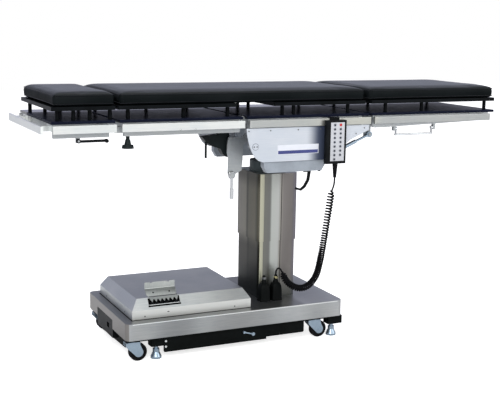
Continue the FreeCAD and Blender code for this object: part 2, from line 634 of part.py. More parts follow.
PARENT_LANE = ("-bar_inner", "-knuckle_parent_inner")
CHILD_LANE = ("-knuckle_child_inner - knuckle_width", "-knuckle_child_inner")
HINGES = {
    "head": {"x": "(-head_split)", "z": "head_pivot_z", "radius": "knuckle_radius", "parent": "back",
             "parent_end": "(-head_split + 46 - cross_bar_half)",
             "child_end": "(-head_split - 55 + cross_bar_half)"},
    "back": {"x": "(-back_split)", "z": "back_pivot_z", "radius": "back_knuckle_radius", "parent": "seat",
             "parent_end": "(-back_split + 60 - cross_bar_half)",
             "child_end": "(-back_split - 30 + cross_bar_half)"},
    "leg": {"x": "leg_split", "z": "leg_pivot_z", "radius": "knuckle_radius", "parent": "seat",
            "parent_end": "(leg_split - 60 + cross_bar_half)",
            "child_end": "(leg_split + 42 - cross_bar_half)"},
}


def make_sections():
    for name, parts in SECTIONS.items():
        extras = []
        if name == "leg":
            low, high = parts["bar"]
            near_bar = outline_body("leg_bar", "XZ_Plane",
                                    [(low, "bar_bottom"), (f"{low} + 60", "bar_bottom"),
                                    (high, "leg_bar_tip"),
                                     (high, "deck_bottom"), (low, "deck_bottom")],
                                    "bar_inner", "bar_outer - bar_inner")
            near_bar = fillet_body(near_bar, "Y", "12", keep=lambda middle: middle.x < size("leg_split + 20")
                                   and middle.z < size("deck_bottom - 5"))
        else:
            near_bar = box(parts["bar"], ("-bar_outer", "-bar_inner"), ("bar_bottom", "deck_bottom"))
        bars = [mirrored(near_bar)]
        if name == "leg":
            near_bar = fuse([near_bar] + bail_lugs())
            extras.append(link_lug())
        if name == "head":
            extras += head_lever_lug()
        bars += [near_bar] + extras
        for x in parts["cross"]:
            bars.append(box((f"{x} - cross_bar_half", f"{x} + cross_bar_half"), ("-bar_inner", "bar_inner"),
                            ("cross_bottom", "deck_bottom")))
        for x in SPACERS[name]:
            block = box((f"{x} - spacer_length / 2", f"{x} + spacer_length / 2"),
            ("-rail_inner", "-bar_outer"),
                        ("rail_bottom + 4", "rail_top - 4"))
            bars += both_sides(block)
        for child, hinge in HINGES.items():
            if hinge["parent"] == name:
                arm = knuckle(PARENT_LANE, hinge["x"], hinge["parent_end"], hinge["z"], hinge["radius"])
                bars += both_sides(bored(arm, hinge["x"], hinge["z"], "pin_clearance / 2"))
                bars += both_sides(hinge_pin(hinge["x"], hinge["z"]))
            if child == name:
                arm = knuckle(CHILD_LANE, hinge["x"], hinge["child_end"], hinge["z"], hinge["radius"])
                bars += both_sides(bored(arm, hinge["x"], hinge["z"], "pin_clearance"))
        if name == "seat":
            bars += seat_lugs() + hanger_plate() + [link_bracket()]
        node(f"{name}_frame", group(bars))

        rail = box(parts["rail"], ("-rail_outer", "-rail_inner"), ("rail_bottom", "rail_top"))
        rail = round_edges(rail, "X", "1.5")
        rails = both_sides(rail)
        if name == "head":
            rails += end_rail()
        node(f"{name}_rails", group(rails))

        deck = box(parts["deck"], ("-deck_half_width", "deck_half_width"), ("deck_bottom", "deck_top"))
        notches = deck_notches(name)
        if notches:
            deck = cut(deck, notches)
        node(f"{name}_deck", deck)

        board = box(parts["board"], ("-board_half_width", "board_half_width"), ("board_bottom", "board_top"))
        board = round_edges(board, "Z", "6")
        posts = []
        for x in parts["posts"]:
            posts += both_sides(cylinder("Z", "post_radius", "deck_top", "board_bottom", x, "-post_y"))
        node(f"{name}_board", group([board] + posts))


def deck_notches(name):
    """Room for the back hinge's eyes in the ends of the decks beside it."""
    reach = "(back_knuckle_radius + pin_radius + 1)"
    ends = {"back": (f"-back_split - {reach}", "-back_split"), "seat": ("-back_split", f"-back_split + {reach}")}
    if name not in ends:
        return []
    lane = ("-bar_inner - 1", "-knuckle_child_inner + 5")
    return both_sides(box(ends[name], lane, ("deck_bottom - 1", "deck_top + 1")))


def end_rail():
    """Short accessory rail across the head end, on two black spacers."""
    bar = box(("-end_rail_x - rail_thickness", "-end_rail_x"), ("-end_rail_half", "end_rail_half"),
              ("rail_bottom", "rail_top"))
    bar = round_edges(bar, "Y", "1.5")
    spacer = box(("-end_rail_x", "-top_left + 5"), ("-end_spacer_y - 12", "-end_spacer_y + 12"),
                 ("rail_bottom + 4", "rail_top - 4"))
    brace = box(("-top_left + 5", "-top_left + 18"), ("-bar_inner", "-150"),
    ("rail_bottom + 4", "deck_bottom"))
    return [bar] + both_sides(spacer) + both_sides(brace)


def seat_lugs():
    """Four plates that hang the seat frame on the long tilt axle, two at each end."""
    lugs = []
    for low, high in (("-lug_outer", "-lug_inner"), ("lug_inner", "lug_outer")):
        plate = box((low, high), ("-lug_half_width", "lug_half_width"), ("pivot_height", "cross_bottom"))
        eye = cylinder("X", "lug_half_width - 9", low, high, "0", "pivot_height")
        bore = cylinder("X", "axle_radius + pin_clearance", f"{low} - 1", f"{high} + 1", "0", "pivot_height")
        lugs.append(cut(fuse([plate, eye]), [bore]))
    return lugs


LOCK_PIVOT = {"x": "(-232)", "z": "(deck_top - 239)", "radius": "9.7"}


def hanger_plate():
    """Curved steel plate below the seat frame's head end, with the lock lever's pin."""
    plate = outline_body("hanger_plate", "XZ_Plane",
                         [("-246", "deck_top - 90"), ("-251", "deck_top - 119"),
                          ("-251", "deck_top - 147"), ("-244", "deck_top - 175"), ("-246", "deck_top - 231"),
                          ("-241", "deck_top - 251"), ("-223", "deck_top - 251"),
                          ("-214", "deck_top - 235"), ("-188", "deck_top - 222"), ("-184", "deck_top - 177"),
                          ("-184", "deck_top - 125"), ("-149", "deck_top - 95"),
                          ("-149", "cross_bottom"), ("-173", "cross_bottom"), ("-173", "deck_top - 77"),
                          ("-186", "deck_top - 90")],
                         "146", "7")
    pin = cylinder("Y", LOCK_PIVOT["radius"], "-164", "-153", LOCK_PIVOT["x"], LOCK_PIVOT["z"])
    return [fuse([plate, pin])]


def slanted(radius, reach, start="0"):
    """Cylinder along the leg link's line, between two distances from its lower end."""
    slope = size("link_slope")
    turn = FreeCAD.Rotation(FreeCAD.Vector(0, 1, 0), 90 - slope)
    piece = doc.addObject("Part::Cylinder", "link")
    piece.setExpression("Radius", bind(radius))
    piece.setExpression("Height", bind(f"({reach}) - ({start})"))
    return place(piece, f"link_barrel_x + ({start}) * cos(link_slope * 1 deg)", "-link_y",
                 f"link_barrel_z + ({start}) * sin(link_slope * 1 deg)", turn)


def link_bracket():
    """Plate below the seat frame that the leg link's lower end passes; its pivot there is left open."""
    return outline_body("link_bracket", "XZ_Plane",
                        [("60", "cross_bottom"), ("60", "deck_top - 85"), ("97", "deck_top - 185"),
                         ("97", "deck_top - 223"), ("124", "deck_top - 223"),
                         ("124", "deck_top - 165"), ("84", "deck_top - 65"), ("84", "cross_bottom")],
                        "link_y - link_barrel - 10", "8")


def link_eye():
    """Place of the link's pivot on the leg frame."""
    return (f"(link_barrel_x + link_length * cos(link_slope * 1 deg))",
            f"(link_barrel_z + link_length * sin(link_slope * 1 deg))")


def link_lug():
    """Lug on the leg frame with the pin that the link's eye turns on."""
    x = "(leg_split + 42)"
    eye_x, eye_z = link_eye()
    plate = box((f"{x} - 4", f"{eye_x} + link_eye_radius"), ("-link_y + 9", "-link_y + 19"),
                (f"{eye_z} - link_eye_radius", "cross_bottom"))
    pin = cylinder("Y", "link_eye_bore - pin_clearance", "-link_y - 8", "-link_y + 10", eye_x, eye_z)
    return fuse([plate, pin])


HEAD_LEVER = {"pivot": "-868", "tip": "-765"}


def head_lever_lug():
    x = HEAD_LEVER["pivot"]
    lug = box((f"{x} - 8", f"{x} + 8"), ("-bar_inner - 5", "-bar_inner"), ("bar_bottom - 20", "bar_bottom"))
    pin = cylinder("Y", "4", "-bar_inner - 17", "-bar_inner - 5", x, "bar_bottom - 12")
    return [fuse([lug, pin])]


BAIL = {"left": "465", "right": "651", "y": "-237", "pivot_z": "(deck_top - 68)", "wire_z": "(deck_top - 93)", "wire": "4"}


def bail_lugs():
    """Two lugs with pins below the leg frame's near bar."""
    pieces = []
    for low, high, pin_low, pin_high in (
            (f"{BAIL['left']} - 10", BAIL["left"], f"{BAIL['left']} - 1", f"{BAIL['left']} + 8"),
            (BAIL["right"], f"{BAIL['right']} + 10", f"{BAIL['right']} - 8", f"{BAIL['right']} + 1")):
        pieces.append(box((low, high), ("-bar_outer + 2", "-bar_inner - 2"),
        ("deck_top - 76", "deck_top - 45")))
        pieces.append(cylinder("X", "3", pin_low, pin_high, BAIL["y"], BAIL["pivot_z"]))
    return pieces


def make_pads():
    top = ("board_top", "pad_top")
    pads = {
        "head_pad": ("-top_left", "-pad_head_split - pad_gap"),
        "back_pad": ("-pad_head_split + pad_gap", "-fold_left"),
        "fold_pad": ("-fold_left + 0.3", "-fold_right - 0.3"),
        "seat_pad": ("-fold_right", "pad_leg_split - pad_gap"),
        "leg_pad": ("pad_leg_split + pad_gap", "top_right"),
    }
    for name, x in pads.items():
        pad = box(x, ("-pad_half_width", "pad_half_width"), top)
        pad = round_edges(pad, "X", "pad_edge")
        node(name, pad)


# Covers, levers and knobs

def make_covers():
    outline = [("-222", "cover_top"), ("-219", "deck_top - 71"), ("-210", "deck_top - 107"),
               ("-199", "deck_top - 134"), ("-185", "deck_top - 157"),
               ("-170", "deck_top - 170"), ("-150", "cover_bottom"),
               ("128", "cover_bottom"), ("182", "deck_top - 141"), ("238", "deck_top - 103"),
               ("304", "deck_top - 73"), ("322", "deck_top - 65"),
               ("322", "cover_top")]
    skin = outline_body("cover_skin", "XZ_Plane", outline, "cover_outer - cover_wall", "cover_wall")
    flange = box(("-205", "300"), ("-cover_outer + cover_wall", "-bar_outer"),
    ("cover_top - 12", "cover_top - 8"))
    node("side_covers", group(both_sides(fuse([skin, flange]))))
    trough = [("-143", "cover_bottom + 14"), ("-143", "cover_bottom - 20"), ("-128", "trough_bottom"),
              ("112", "trough_bottom"), ("126", "cover_bottom - 20"), ("126", "cover_bottom + 14")]
    pan = outline_body("trough_pan", "XZ_Plane", trough, "trough_inner", "trough_outer - trough_inner")
    arm = box(("-40", "20"), ("-bar_outer", "-bar_inner"), ("cover_bottom + 14", "bar_bottom"))
    pin = cylinder("Y", "5", "-trough_inner - 1", "-trough_inner + 13", "80", "(deck_top - 203)")
    node("side_troughs", group([fuse([pan, arm, pin]), mirrored(fuse([pan, arm]))]))


def make_back_arm():
    """Black casting below the back section that drives it, with a rod at its free end."""
    outline = [("-348", "deck_top - 87"), ("-333", "deck_top - 104"), ("-313", "deck_top - 122"),
               ("-269", "deck_top - 137"), ("-258", "deck_top - 159"), ("-240", "deck_top - 173"),
               ("-232", "deck_top - 165"), ("-232", "deck_top - 88"), ("-239", "cross_bottom"),
               ("-263", "cross_bottom"), ("-275", "deck_top - 80")]
    arm = outline_body("drive_arm", "XZ_Plane", outline, "96", "34")
    arm = fillet_body(arm, "Y", "8", keep=lambda middle: middle.z < size("deck_top - 115"))
    rod = cylinder("Z", "4.5", "(deck_top - 173)", "(deck_top - 100)", "-325", "-113")
    node("back_drive_arms", fuse([arm, rod]))


def make_levers():
    knob_x, knob_y = "-684", "-237"
    flange = cone("22.5", "20", knob_x, knob_y, ("deck_top - 105", "deck_top - 93"))
    neck = cone("13", "9", knob_x, knob_y, ("deck_top - 93", "deck_top - 73"))
    stem = cylinder("Z", "7", "deck_top - 73", "bar_bottom - seat_gap", knob_x, knob_y)
    node("head_clamp_knob", fuse([flange, neck, stem]))

    pivot_x, pivot_z = HEAD_LEVER["pivot"], "(bar_bottom - 12)"
    tip_x = HEAD_LEVER["tip"]
    lane = ("-bar_inner - 16", "-bar_inner - 5 - seat_gap")
    lever = fuse([cylinder("Y", "8", lane[0], lane[1], pivot_x, pivot_z),
                  box((pivot_x, tip_x), (f"{lane[0]} + 2", f"{lane[1]} - 1"),
                  (f"{pivot_z} - 6", f"{pivot_z} + 3")),
                  cylinder("Y", "7", f"{lane[0]} - 3", lane[1], tip_x, f"{pivot_z} - 2")])
    bore = cylinder("Y", "4 + pin_clearance", f"{lane[0]} - 5", f"{lane[1]} + 5", pivot_x, pivot_z)
    node("head_release_lever", cut(lever, [bore]))

    left, right, y = BAIL["left"], BAIL["right"], BAIL["y"]
    low, high = f"{left} + 5", f"{right} - 5"
    bail = fuse([cylinder("X", BAIL["wire"], f"{low} - 4", f"{high} + 4", y, BAIL["wire_z"]),
                 cylinder("Z", BAIL["wire"], BAIL["wire_z"], f"{BAIL['pivot_z']} - 3", low, y),
                 cylinder("Z", BAIL["wire"], BAIL["wire_z"], f"{BAIL['pivot_z']} - 3", high, y),
                 cylinder("X", "7", f"{left} + seat_gap", f"{left} + 9", y, BAIL["pivot_z"]),
                 cylinder("X", "7", f"{right} - 9", f"{right} - seat_gap", y, BAIL["pivot_z"])])
    bores = [cylinder("X", "3 + pin_clearance", f"{left} - 1", f"{left} + 12", y, BAIL["pivot_z"]),
             cylinder("X", "3 + pin_clearance", f"{right} - 12", f"{right} + 1", y, BAIL["pivot_z"])]
    node("leg_release_bail", cut(bail, bores))

    rod = slanted("link_rod_radius", "link_length - link_eye_radius + 1")
    sleeve_piece = slanted("link_barrel", "link_barrel_length", "20")
    eye_x, eye_z = link_eye()
    eye = cylinder("Y", "link_eye_radius", "-link_y - 4.5", "-link_y + 8.5", eye_x, eye_z)
    eye_hole = cylinder("Y", "link_eye_bore", "-link_y - 6", "-link_y + 10", eye_x, eye_z)
    node("leg_link_rod", cut(fuse([rod, sleeve_piece, eye]), [eye_hole]))

    ring = doc.addObject("Part::Torus", "ring")
    ring.setExpression("Radius1", bind(f"{LOCK_PIVOT['radius']} + seat_gap + 3"))
    ring.Radius2 = 3
    place(ring, LOCK_PIVOT["x"], "-157", LOCK_PIVOT["z"], FreeCAD.Rotation(FreeCAD.Vector(1, 0, 0), 90))
    bar = box((f"{LOCK_PIVOT['x']} - 5", f"{LOCK_PIVOT['x']} + 5"), ("-160", "-154"),
              ("deck_top - 325", f"{LOCK_PIVOT['z']} - 13"))
    grip = cylinder("Z", "8", "deck_top - 333", "deck_top - 293", LOCK_PIVOT["x"], "-157")
    washer = cylinder("Y", "13", "-164", "-161.5", LOCK_PIVOT["x"], LOCK_PIVOT["z"])
    node("rotation_lock_lever", fuse([ring, bar, grip, cut(washer, [cylinder(
        "Y", f"{LOCK_PIVOT['radius']} + seat_gap", "-165", "-160", LOCK_PIVOT["x"], LOCK_PIVOT["z"])])]))

    hook = outline_body("hook_lever", "XZ_Plane",
                        [("72", "deck_top - 191"), ("72", "deck_top - 213"), ("66", "deck_top - 261"),
                         ("52", "deck_top - 285"), ("38", "deck_top - 296"),
                         ("18", "deck_top - 290"), ("14", "deck_top - 298"), ("38", "deck_top - 305"),
                         ("58", "deck_top - 292"), ("75", "deck_top - 264"),
                         ("82", "deck_top - 219"), ("88", "deck_top - 213"), ("88", "deck_top - 191")],
                        "trough_inner - 10.3", "10")
    hole = cylinder("Y", "5 + pin_clearance", "-trough_inner", "-trough_inner + 12", "80", "(deck_top - 203)")
    node("tilt_lock_lever", cut(hook, [hole]))


# Handset and its curly cord

def make_handset():
    case = box(("handset_left", "handset_right"), ("-handset_face", "-handset_back"),
               ("handset_bottom", "handset_top"))
    case = round_edges(case, "Z", "8")
    inside = "(rail_inner - handset_clearance)"
    hook = fuse([box(("handset_middle - hook_half", "handset_middle + hook_half"),
                     ("-handset_back - 1", f"-{inside} + hook_thickness"),
                     ("rail_top + handset_clearance", "rail_top + handset_clearance + hook_thickness")),
                 box(("handset_middle - hook_half", "handset_middle + hook_half"),
                     (f"-{inside}", f"-{inside} + hook_thickness"),
                     ("rail_top - 14", "rail_top + handset_clearance + hook_thickness")),
                 box(("handset_middle - hook_half", "handset_middle + hook_half"),
                     ("-handset_back - 2", "-handset_back"),
                     ("rail_bottom", "rail_top + handset_clearance + hook_thickness"))])
    node("handset_body", fuse([case, hook]))
    keys = []
    top = "(handset_top - 18)"
    for row in range(9):
        columns = ("handset_left + 36", "handset_left + 62") if 0 < row < 8 else ("handset_left + 36",)
        for x in columns:
            keys.append(cylinder("Y", "key_radius", "-handset_face - key_rise", "-handset_face",
                                 x, f"{top} - {row} * 17"))
    keys.append(cylinder("Y", "key_radius + 1.5", "-handset_face - key_rise", "-handset_face",
                         "handset_left + 62", top))
    node("handset_keys", group(keys))
    depth = "(-(handset_face + handset_back) / 2)"
    relief = cone("relief_low_radius", "relief_top_radius", "relief_x", depth,
                  ("handset_bottom - relief_length", "handset_bottom"))
    node("handset_strain_relief", relief)


def rounded_route(points):
    """Straight runs joined by tangent arcs, each as large as its two runs allow."""
    edges = []
    start = points[0]
    radii = []
    for before, corner, after in zip(points, points[1:], points[2:]):
        into = (corner - before)
        out = (after - corner)
        turn = into.getAngle(out)
        shorter = min(into.Length, out.Length)
        radius = 0.45 * shorter / math.tan(turn / 2)
        radii.append(round(radius))
        back = 0.45 * shorter
        first = corner - into * (back / into.Length)
        last = corner + out * (back / out.Length)
        inward = (last - corner).normalize() + (first - corner).normalize()
        inward.normalize()
        centre = corner + inward * (radius / math.cos(turn / 2))
        middle = centre - inward * radius
        edges.append(Part.LineSegment(start, first).toShape())
        edges.append(Part.Arc(first, middle, last).toShape())
        start = last
    edges.append(Part.LineSegment(start, points[-1]).toShape())
    return Part.Wire(edges), radii


def tube(points, radius):
    route, radii = rounded_route(points)
    direction = (points[1] - points[0]).normalize()
    ring = Part.Wire(Part.Circle(points[0], direction, radius).toShape())
    solid = route.makePipeShell([ring], True, False)
    wanted = math.pi * radius * radius * route.Length
    print("cord radii", radii, "length", round(route.Length, 1), "volume ratio", round(solid.Volume / wanted, 4))
    return solid


# Points chosen by hand: out of the right-hand boot, along the curled stretch and up to the strain relief
CORD_TAIL = [(-21, -141, 262), (-21, -141, 276), (-16, -147, 288), (-9, -156, 288), (-3.5, -164, 273),
             (0, -168.5, 262)]
CORD_CURL = [(0, -168.5, 262), (7, -177.5, 240), (21, -190, 225), (46, -204, 211), (73, -221, 215),
             (95, -236, 238), (111, -249, 274), (119, -256, 325), (126.5, -262, 385), (133.5, -268, 455),
             (140, -273.5, 522), (145.5, -278.5, 580), (149, -281.5, 620)]
CORD_TOP = [(153.5, -284, 620), (155.6, -285.7, 640), (158, -287.4, 658), (158, -287.4, 677)]


def make_cord():
    lengths = []
    for route, radius in ((CORD_TAIL, "cord_radius"), (CORD_CURL, "curl_radius"), (CORD_TOP, "cord_radius")):
        lengths.append(tube([FreeCAD.Vector(*spot) for spot in route], size(radius)))
    cord = doc.addObject("Part::Feature", "cord")
    cord.Shape = Part.makeCompound(lengths)
    node("pendant_cord", cord)


make_base()
make_hood()
make_pump()
make_boots()
make_casters()
make_feet()
make_column()
make_saddle()
make_sections()
make_pads()
make_covers()
make_back_arm()
make_levers()
make_handset()
make_cord()

doc.recompute()
for thing in doc.Objects:
    if {"Invalid", "Error"} & set(thing.State):
        raise RuntimeError(f"{thing.Name} ({thing.Label}) failed: {thing.State}")
for name, thing in NODES.items():
    if thing.Shape.isNull() or not thing.Shape.isValid():
        raise RuntimeError(f"{name} has no valid shape")

os.makedirs("parts", exist_ok=True)
for name, thing in NODES.items():
    thing.Shape.exportStep(f"parts/{name}.step")
print(len(NODES), "sub-parts written")
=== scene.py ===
"""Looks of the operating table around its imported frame. Metres; head end at -X, viewer's side at -Y."""

import math

import bmesh
import bpy
from mathutils import Matrix, Vector, noise
from mathutils.bvhtree import BVHTree


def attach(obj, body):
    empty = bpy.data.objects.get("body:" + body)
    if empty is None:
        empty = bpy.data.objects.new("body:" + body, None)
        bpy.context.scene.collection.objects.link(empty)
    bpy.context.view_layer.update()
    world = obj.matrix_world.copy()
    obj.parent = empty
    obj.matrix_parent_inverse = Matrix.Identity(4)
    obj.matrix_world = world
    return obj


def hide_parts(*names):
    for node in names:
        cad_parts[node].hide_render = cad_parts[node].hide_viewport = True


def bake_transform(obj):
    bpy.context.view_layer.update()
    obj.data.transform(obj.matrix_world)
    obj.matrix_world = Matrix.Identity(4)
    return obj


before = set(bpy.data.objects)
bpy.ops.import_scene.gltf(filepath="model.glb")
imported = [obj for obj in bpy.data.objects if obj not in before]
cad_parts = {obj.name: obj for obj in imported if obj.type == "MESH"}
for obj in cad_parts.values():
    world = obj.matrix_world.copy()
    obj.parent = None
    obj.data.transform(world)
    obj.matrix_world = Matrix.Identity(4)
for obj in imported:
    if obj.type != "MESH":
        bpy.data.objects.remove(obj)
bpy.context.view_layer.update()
MM = 0.001
SHARP_ANGLE = math.radians(35)


# Shader graphs

class Graph:
    """Nodes of one material, made and linked in short calls."""

    def __init__(self, name):
        self.material = bpy.data.materials.new(name)
        self.material.use_nodes = True
        self.tree = self.material.node_tree
        self.shader = self.tree.nodes["Principled BSDF"]
        self.place = self.tree.nodes.new("ShaderNodeTexCoord").outputs["Object"]

    def make(self, kind, inputs=None, **settings):
        node = self.tree.nodes.new(kind)
        for key, value in settings.items():
            setattr(node, key, value)
        for key, value in (inputs or {}).items():
            self.feed(node.inputs[key], value)
        return node

    def feed(self, socket, value):
        if isinstance(value, bpy.types.NodeSocket):
            self.tree.links.new(value, socket)
        elif isinstance(value, (tuple, list)) and len(value) == 3 and len(socket.default_value) == 4:
            socket.default_value = (*value, 1)
        else:
            socket.default_value = value

    def set(self, **values):
        for key, value in values.items():
            self.feed(self.shader.inputs[key.replace("_", " ")], value)

    def scaled(self, x, y, z):
        node = self.make("ShaderNodeMapping", {"Vector": self.place})
        node.inputs["Scale"].default_value = (x, y, z)
        return node.outputs["Vector"]

    def noise(self, x, y, z, detail=4.0, rough=0.55):
        node = self.make("ShaderNodeTexNoise", {"Vector": self.scaled(x, y, z)})
        node.inputs["Scale"].default_value = 1
        node.inputs["Detail"].default_value = detail
        node.inputs["Roughness"].default_value = rough
        return node.outputs["Fac"]

    def ramp(self, value, *stops):
        node = self.make("ShaderNodeValToRGB", {"Fac": value})
        node.color_ramp.interpolation = "EASE"
        elements = node.color_ramp.elements
        while len(elements) < len(stops):
            elements.new(0.5)
        for element, (where, colour) in zip(elements, stops):
            element.position = where
            element.color = (*colour, 1) if isinstance(colour, tuple) else (colour, colour, colour, 1)
        return node.outputs["Color"]

    def mix(self, factor, first, second, mode="MIX"):
        node = self.make("ShaderNodeMix", data_type="RGBA", blend_type=mode)
        for socket, value in zip((node.inputs[0], node.inputs[6], node.inputs[7]), (factor, first, second)):
            self.feed(socket, value)
        return node.outputs[2]

    def maths(self, operation, *values, clamp=False):
        node = self.make("ShaderNodeMath", operation=operation, use_clamp=clamp)
        for socket, value in zip(node.inputs, values):
            self.feed(socket, value)
        return node.outputs[0]

    def axis(self, letter):
        return self.make("ShaderNodeSeparateXYZ", {0: self.place}).outputs[letter]

    def span(self, letter, low, high):
        """1 between two places along an axis, else 0."""
        value = self.axis(letter)
        above = self.maths("GREATER_THAN", value, low)
        return self.maths("MULTIPLY", above, self.maths("LESS_THAN", value, high))

    def within(self, x=None, y=None, z=None):
        """1 inside a box given in metres, else 0."""
        parts = [self.span(letter, *limits) for letter, limits in zip("XYZ", (x, y, z)) if limits]
        result = parts[0]
        for part in parts[1:]:
            result = self.maths("MULTIPLY", result, part)
        return result

    def along(self, letter, low, high):
        """0 to 1 from one place to another along an axis."""
        node = self.make("ShaderNodeMapRange", {"Value": self.axis(letter)}, interpolation_type="LINEAR")
        node.inputs["From Min"].default_value = low
        node.inputs["From Max"].default_value = high
        return node.outputs["Result"]

    def facing(self, letter):
        """The surface normal's part along an axis."""
        normal = self.make("ShaderNodeNewGeometry").outputs["Normal"]
        return self.make("ShaderNodeSeparateXYZ", {0: normal}).outputs[letter]

    def uneven_roughness(self, value, low, high):
        node = self.make("ShaderNodeMapRange", {"Value": value})
        node.inputs["To Min"].default_value = low
        node.inputs["To Max"].default_value = high
        self.set(Roughness=node.outputs["Result"])

    def darker(self, where, base, shade):
        """Base multiplied by a shade where the mask is 1."""
        return self.mix(where, base, self.mix(1.0, base, shade, "MULTIPLY"))

    def bump(self, height, distance, strength):
        node = self.make("ShaderNodeBump", {"Height": height})
        node.inputs["Distance"].default_value = distance
        node.inputs["Strength"].default_value = strength
        self.feed(self.shader.inputs["Normal"], node.outputs["Normal"])


def grey(value):
    return (value, value, value)


COOL_TINT = (0.9, 0.95, 1.0)
BROAD_SHARE, SMUDGE_SHARE = 0.08, 0.35


def brushed(name, colour, grain, roughness=0.34, contrast=0.16, metallic=0.9, painted_reflections=None, masks=()):
    """Brushed steel; grain is the scale of its lines along each axis, and dark lines are a little cooler."""
    graph = Graph(name)
    fine = graph.noise(*grain, detail=6, rough=0.7)
    broad = graph.noise(*[value * BROAD_SHARE for value in grain], detail=2)
    dark = tuple(part * (1 - contrast) * shade for part, shade in zip(colour, COOL_TINT))
    light = tuple(min(1, part * (1 + contrast)) for part in colour)
    base = graph.ramp(fine, (0.32, dark), (0.68, light))
    smudge = graph.noise(6, 6, 6, detail=3)
    base = graph.mix(SMUDGE_SHARE, base, graph.ramp(smudge, (0.35, dark), (0.65, light)))
    # Painted reflections and shade, where a material is given them.
    if painted_reflections:
        base = painted_reflections(graph, base, broad)
    for mask in masks:
        base = mask(graph, base)
    graph.set(Base_Color=base, Metallic=metallic)
    graph.uneven_roughness(fine, roughness - 0.07, roughness + 0.09)
    graph.bump(fine, 0.00012, 0.5)
    return graph.material


COAT_FADE, COAT_IOR = 0.03, 1.9


def plastic(name, colour, roughness=0.45, speck=500, depth=0.0001, variation=0.25, masks=(), gloss=0.12,
            coat_from=None):
    """Moulded plastic or paint, finely grained; coat_from is where a mirror-like layer starts along Y."""
    graph = Graph(name)
    grain = graph.noise(speck, speck, speck, detail=3)
    marks = graph.noise(14, 14, 14, detail=5, rough=0.65)
    dark = tuple(part * (1 - variation) for part in colour)
    light = tuple(min(1, part * (1 + variation)) for part in colour)
    base = graph.ramp(marks, (0.3, dark), (0.7, light))
    for mask in masks:
        base = mask(graph, base)
    graph.set(Base_Color=base)
    graph.uneven_roughness(marks, roughness - 0.08, roughness + 0.08)
    graph.shader.inputs["Specular IOR Level"].default_value = gloss
    if coat_from is not None:
        graph.set(Coat_Weight=graph.along("Y", coat_from, coat_from + COAT_FADE), Coat_IOR=COAT_IOR)
    graph.bump(grain, depth, 0.6)
    return graph.material


VINYL_DARK, VINYL_WORN = (0.004, 0.0055, 0.006), (0.008, 0.010, 0.011)
VINYL_ROUGHNESS = (0.38, 0.56)
SHEEN_TINT = (0.80, 0.84, 1.0, 1)
PEBBLE_SHARE = 0.35


def vinyl(name):
    """Black upholstery vinyl: pebbled grain, slight creases and a soft sheen."""
    graph = Graph(name)
    pebble = graph.make("ShaderNodeTexVoronoi", {"Vector": graph.scaled(420, 420, 420)})
    pebble.inputs["Scale"].default_value = 1
    crease = graph.noise(9, 14, 14, detail=5, rough=0.6)
    wear = graph.noise(3, 5, 5, detail=3)
    graph.set(Base_Color=graph.ramp(wear, (0.3, VINYL_DARK), (0.7, VINYL_WORN)))
    graph.uneven_roughness(crease, *VINYL_ROUGHNESS)
    top = graph.maths("MAXIMUM", graph.facing("Z"), 0.0)
    graph.set(Specular_IOR_Level=graph.maths("MULTIPLY_ADD", top, 0.07, 0.02),
              Sheen_Weight=graph.maths("MULTIPLY", top, 0.24))
    graph.shader.inputs["Sheen Roughness"].default_value = 0.32
    graph.shader.inputs["Sheen Tint"].default_value = SHEEN_TINT
    height = graph.maths("MULTIPLY_ADD", pebble.outputs["Distance"], PEBBLE_SHARE, crease)
    graph.bump(height, 0.0006, 0.45)
    return graph.material


# Painted reflections of the studio across the column's near face and its side face.
NEAR_PAINTED_REFLECTIONS = [(0.00, (0.30, 0.29, 0.22)), (0.04, (0.52, 0.51, 0.39)), (0.11, (0.50, 0.49, 0.38)),
              (0.15, (0.20, 0.20, 0.18)), (0.28, (0.19, 0.19, 0.18)), (0.34, (0.52, 0.54, 0.51)),
              (0.50, (0.55, 0.56, 0.54)), (0.57, (0.36, 0.34, 0.31)), (0.64, (0.27, 0.25, 0.24)),
              (0.84, (0.25, 0.23, 0.22)), (0.93, (0.19, 0.18, 0.20)), (1.00, (0.13, 0.13, 0.17))]
SIDE_PAINTED_REFLECTIONS = [(0.00, (0.16, 0.15, 0.12)), (0.10, (0.07, 0.07, 0.05)), (0.16, (0.13, 0.12, 0.09)),
              (0.42, (0.12, 0.115, 0.09)), (0.50, (0.06, 0.06, 0.05)), (0.58, (0.21, 0.20, 0.17)),
              (0.88, (0.22, 0.21, 0.19)), (1.00, (0.30, 0.31, 0.37))]


COLUMN_HALF_LENGTH, COLUMN_HALF_WIDTH = 0.088, 0.110
SIDE_FACING, TOP_FACING, UPRIGHT_FACING = 0.6, 0.9, 0.2
BAND_WOBBLE = 0.03
COLUMN_RISE = (0.15, 0.66)
# Painted shade on the side face by height: dark on the lower part, and darker again just under the saddle.
SIDE_PAINTED_SHADES = [(0.0, 0.10), (0.40, 0.25), (0.55, 1.0), (0.88, 1.0), (1.0, 0.4)]
COLUMN_SEAM, COLUMN_FOLD = (0.0125, 0.0155), (-0.0625, -0.0613)


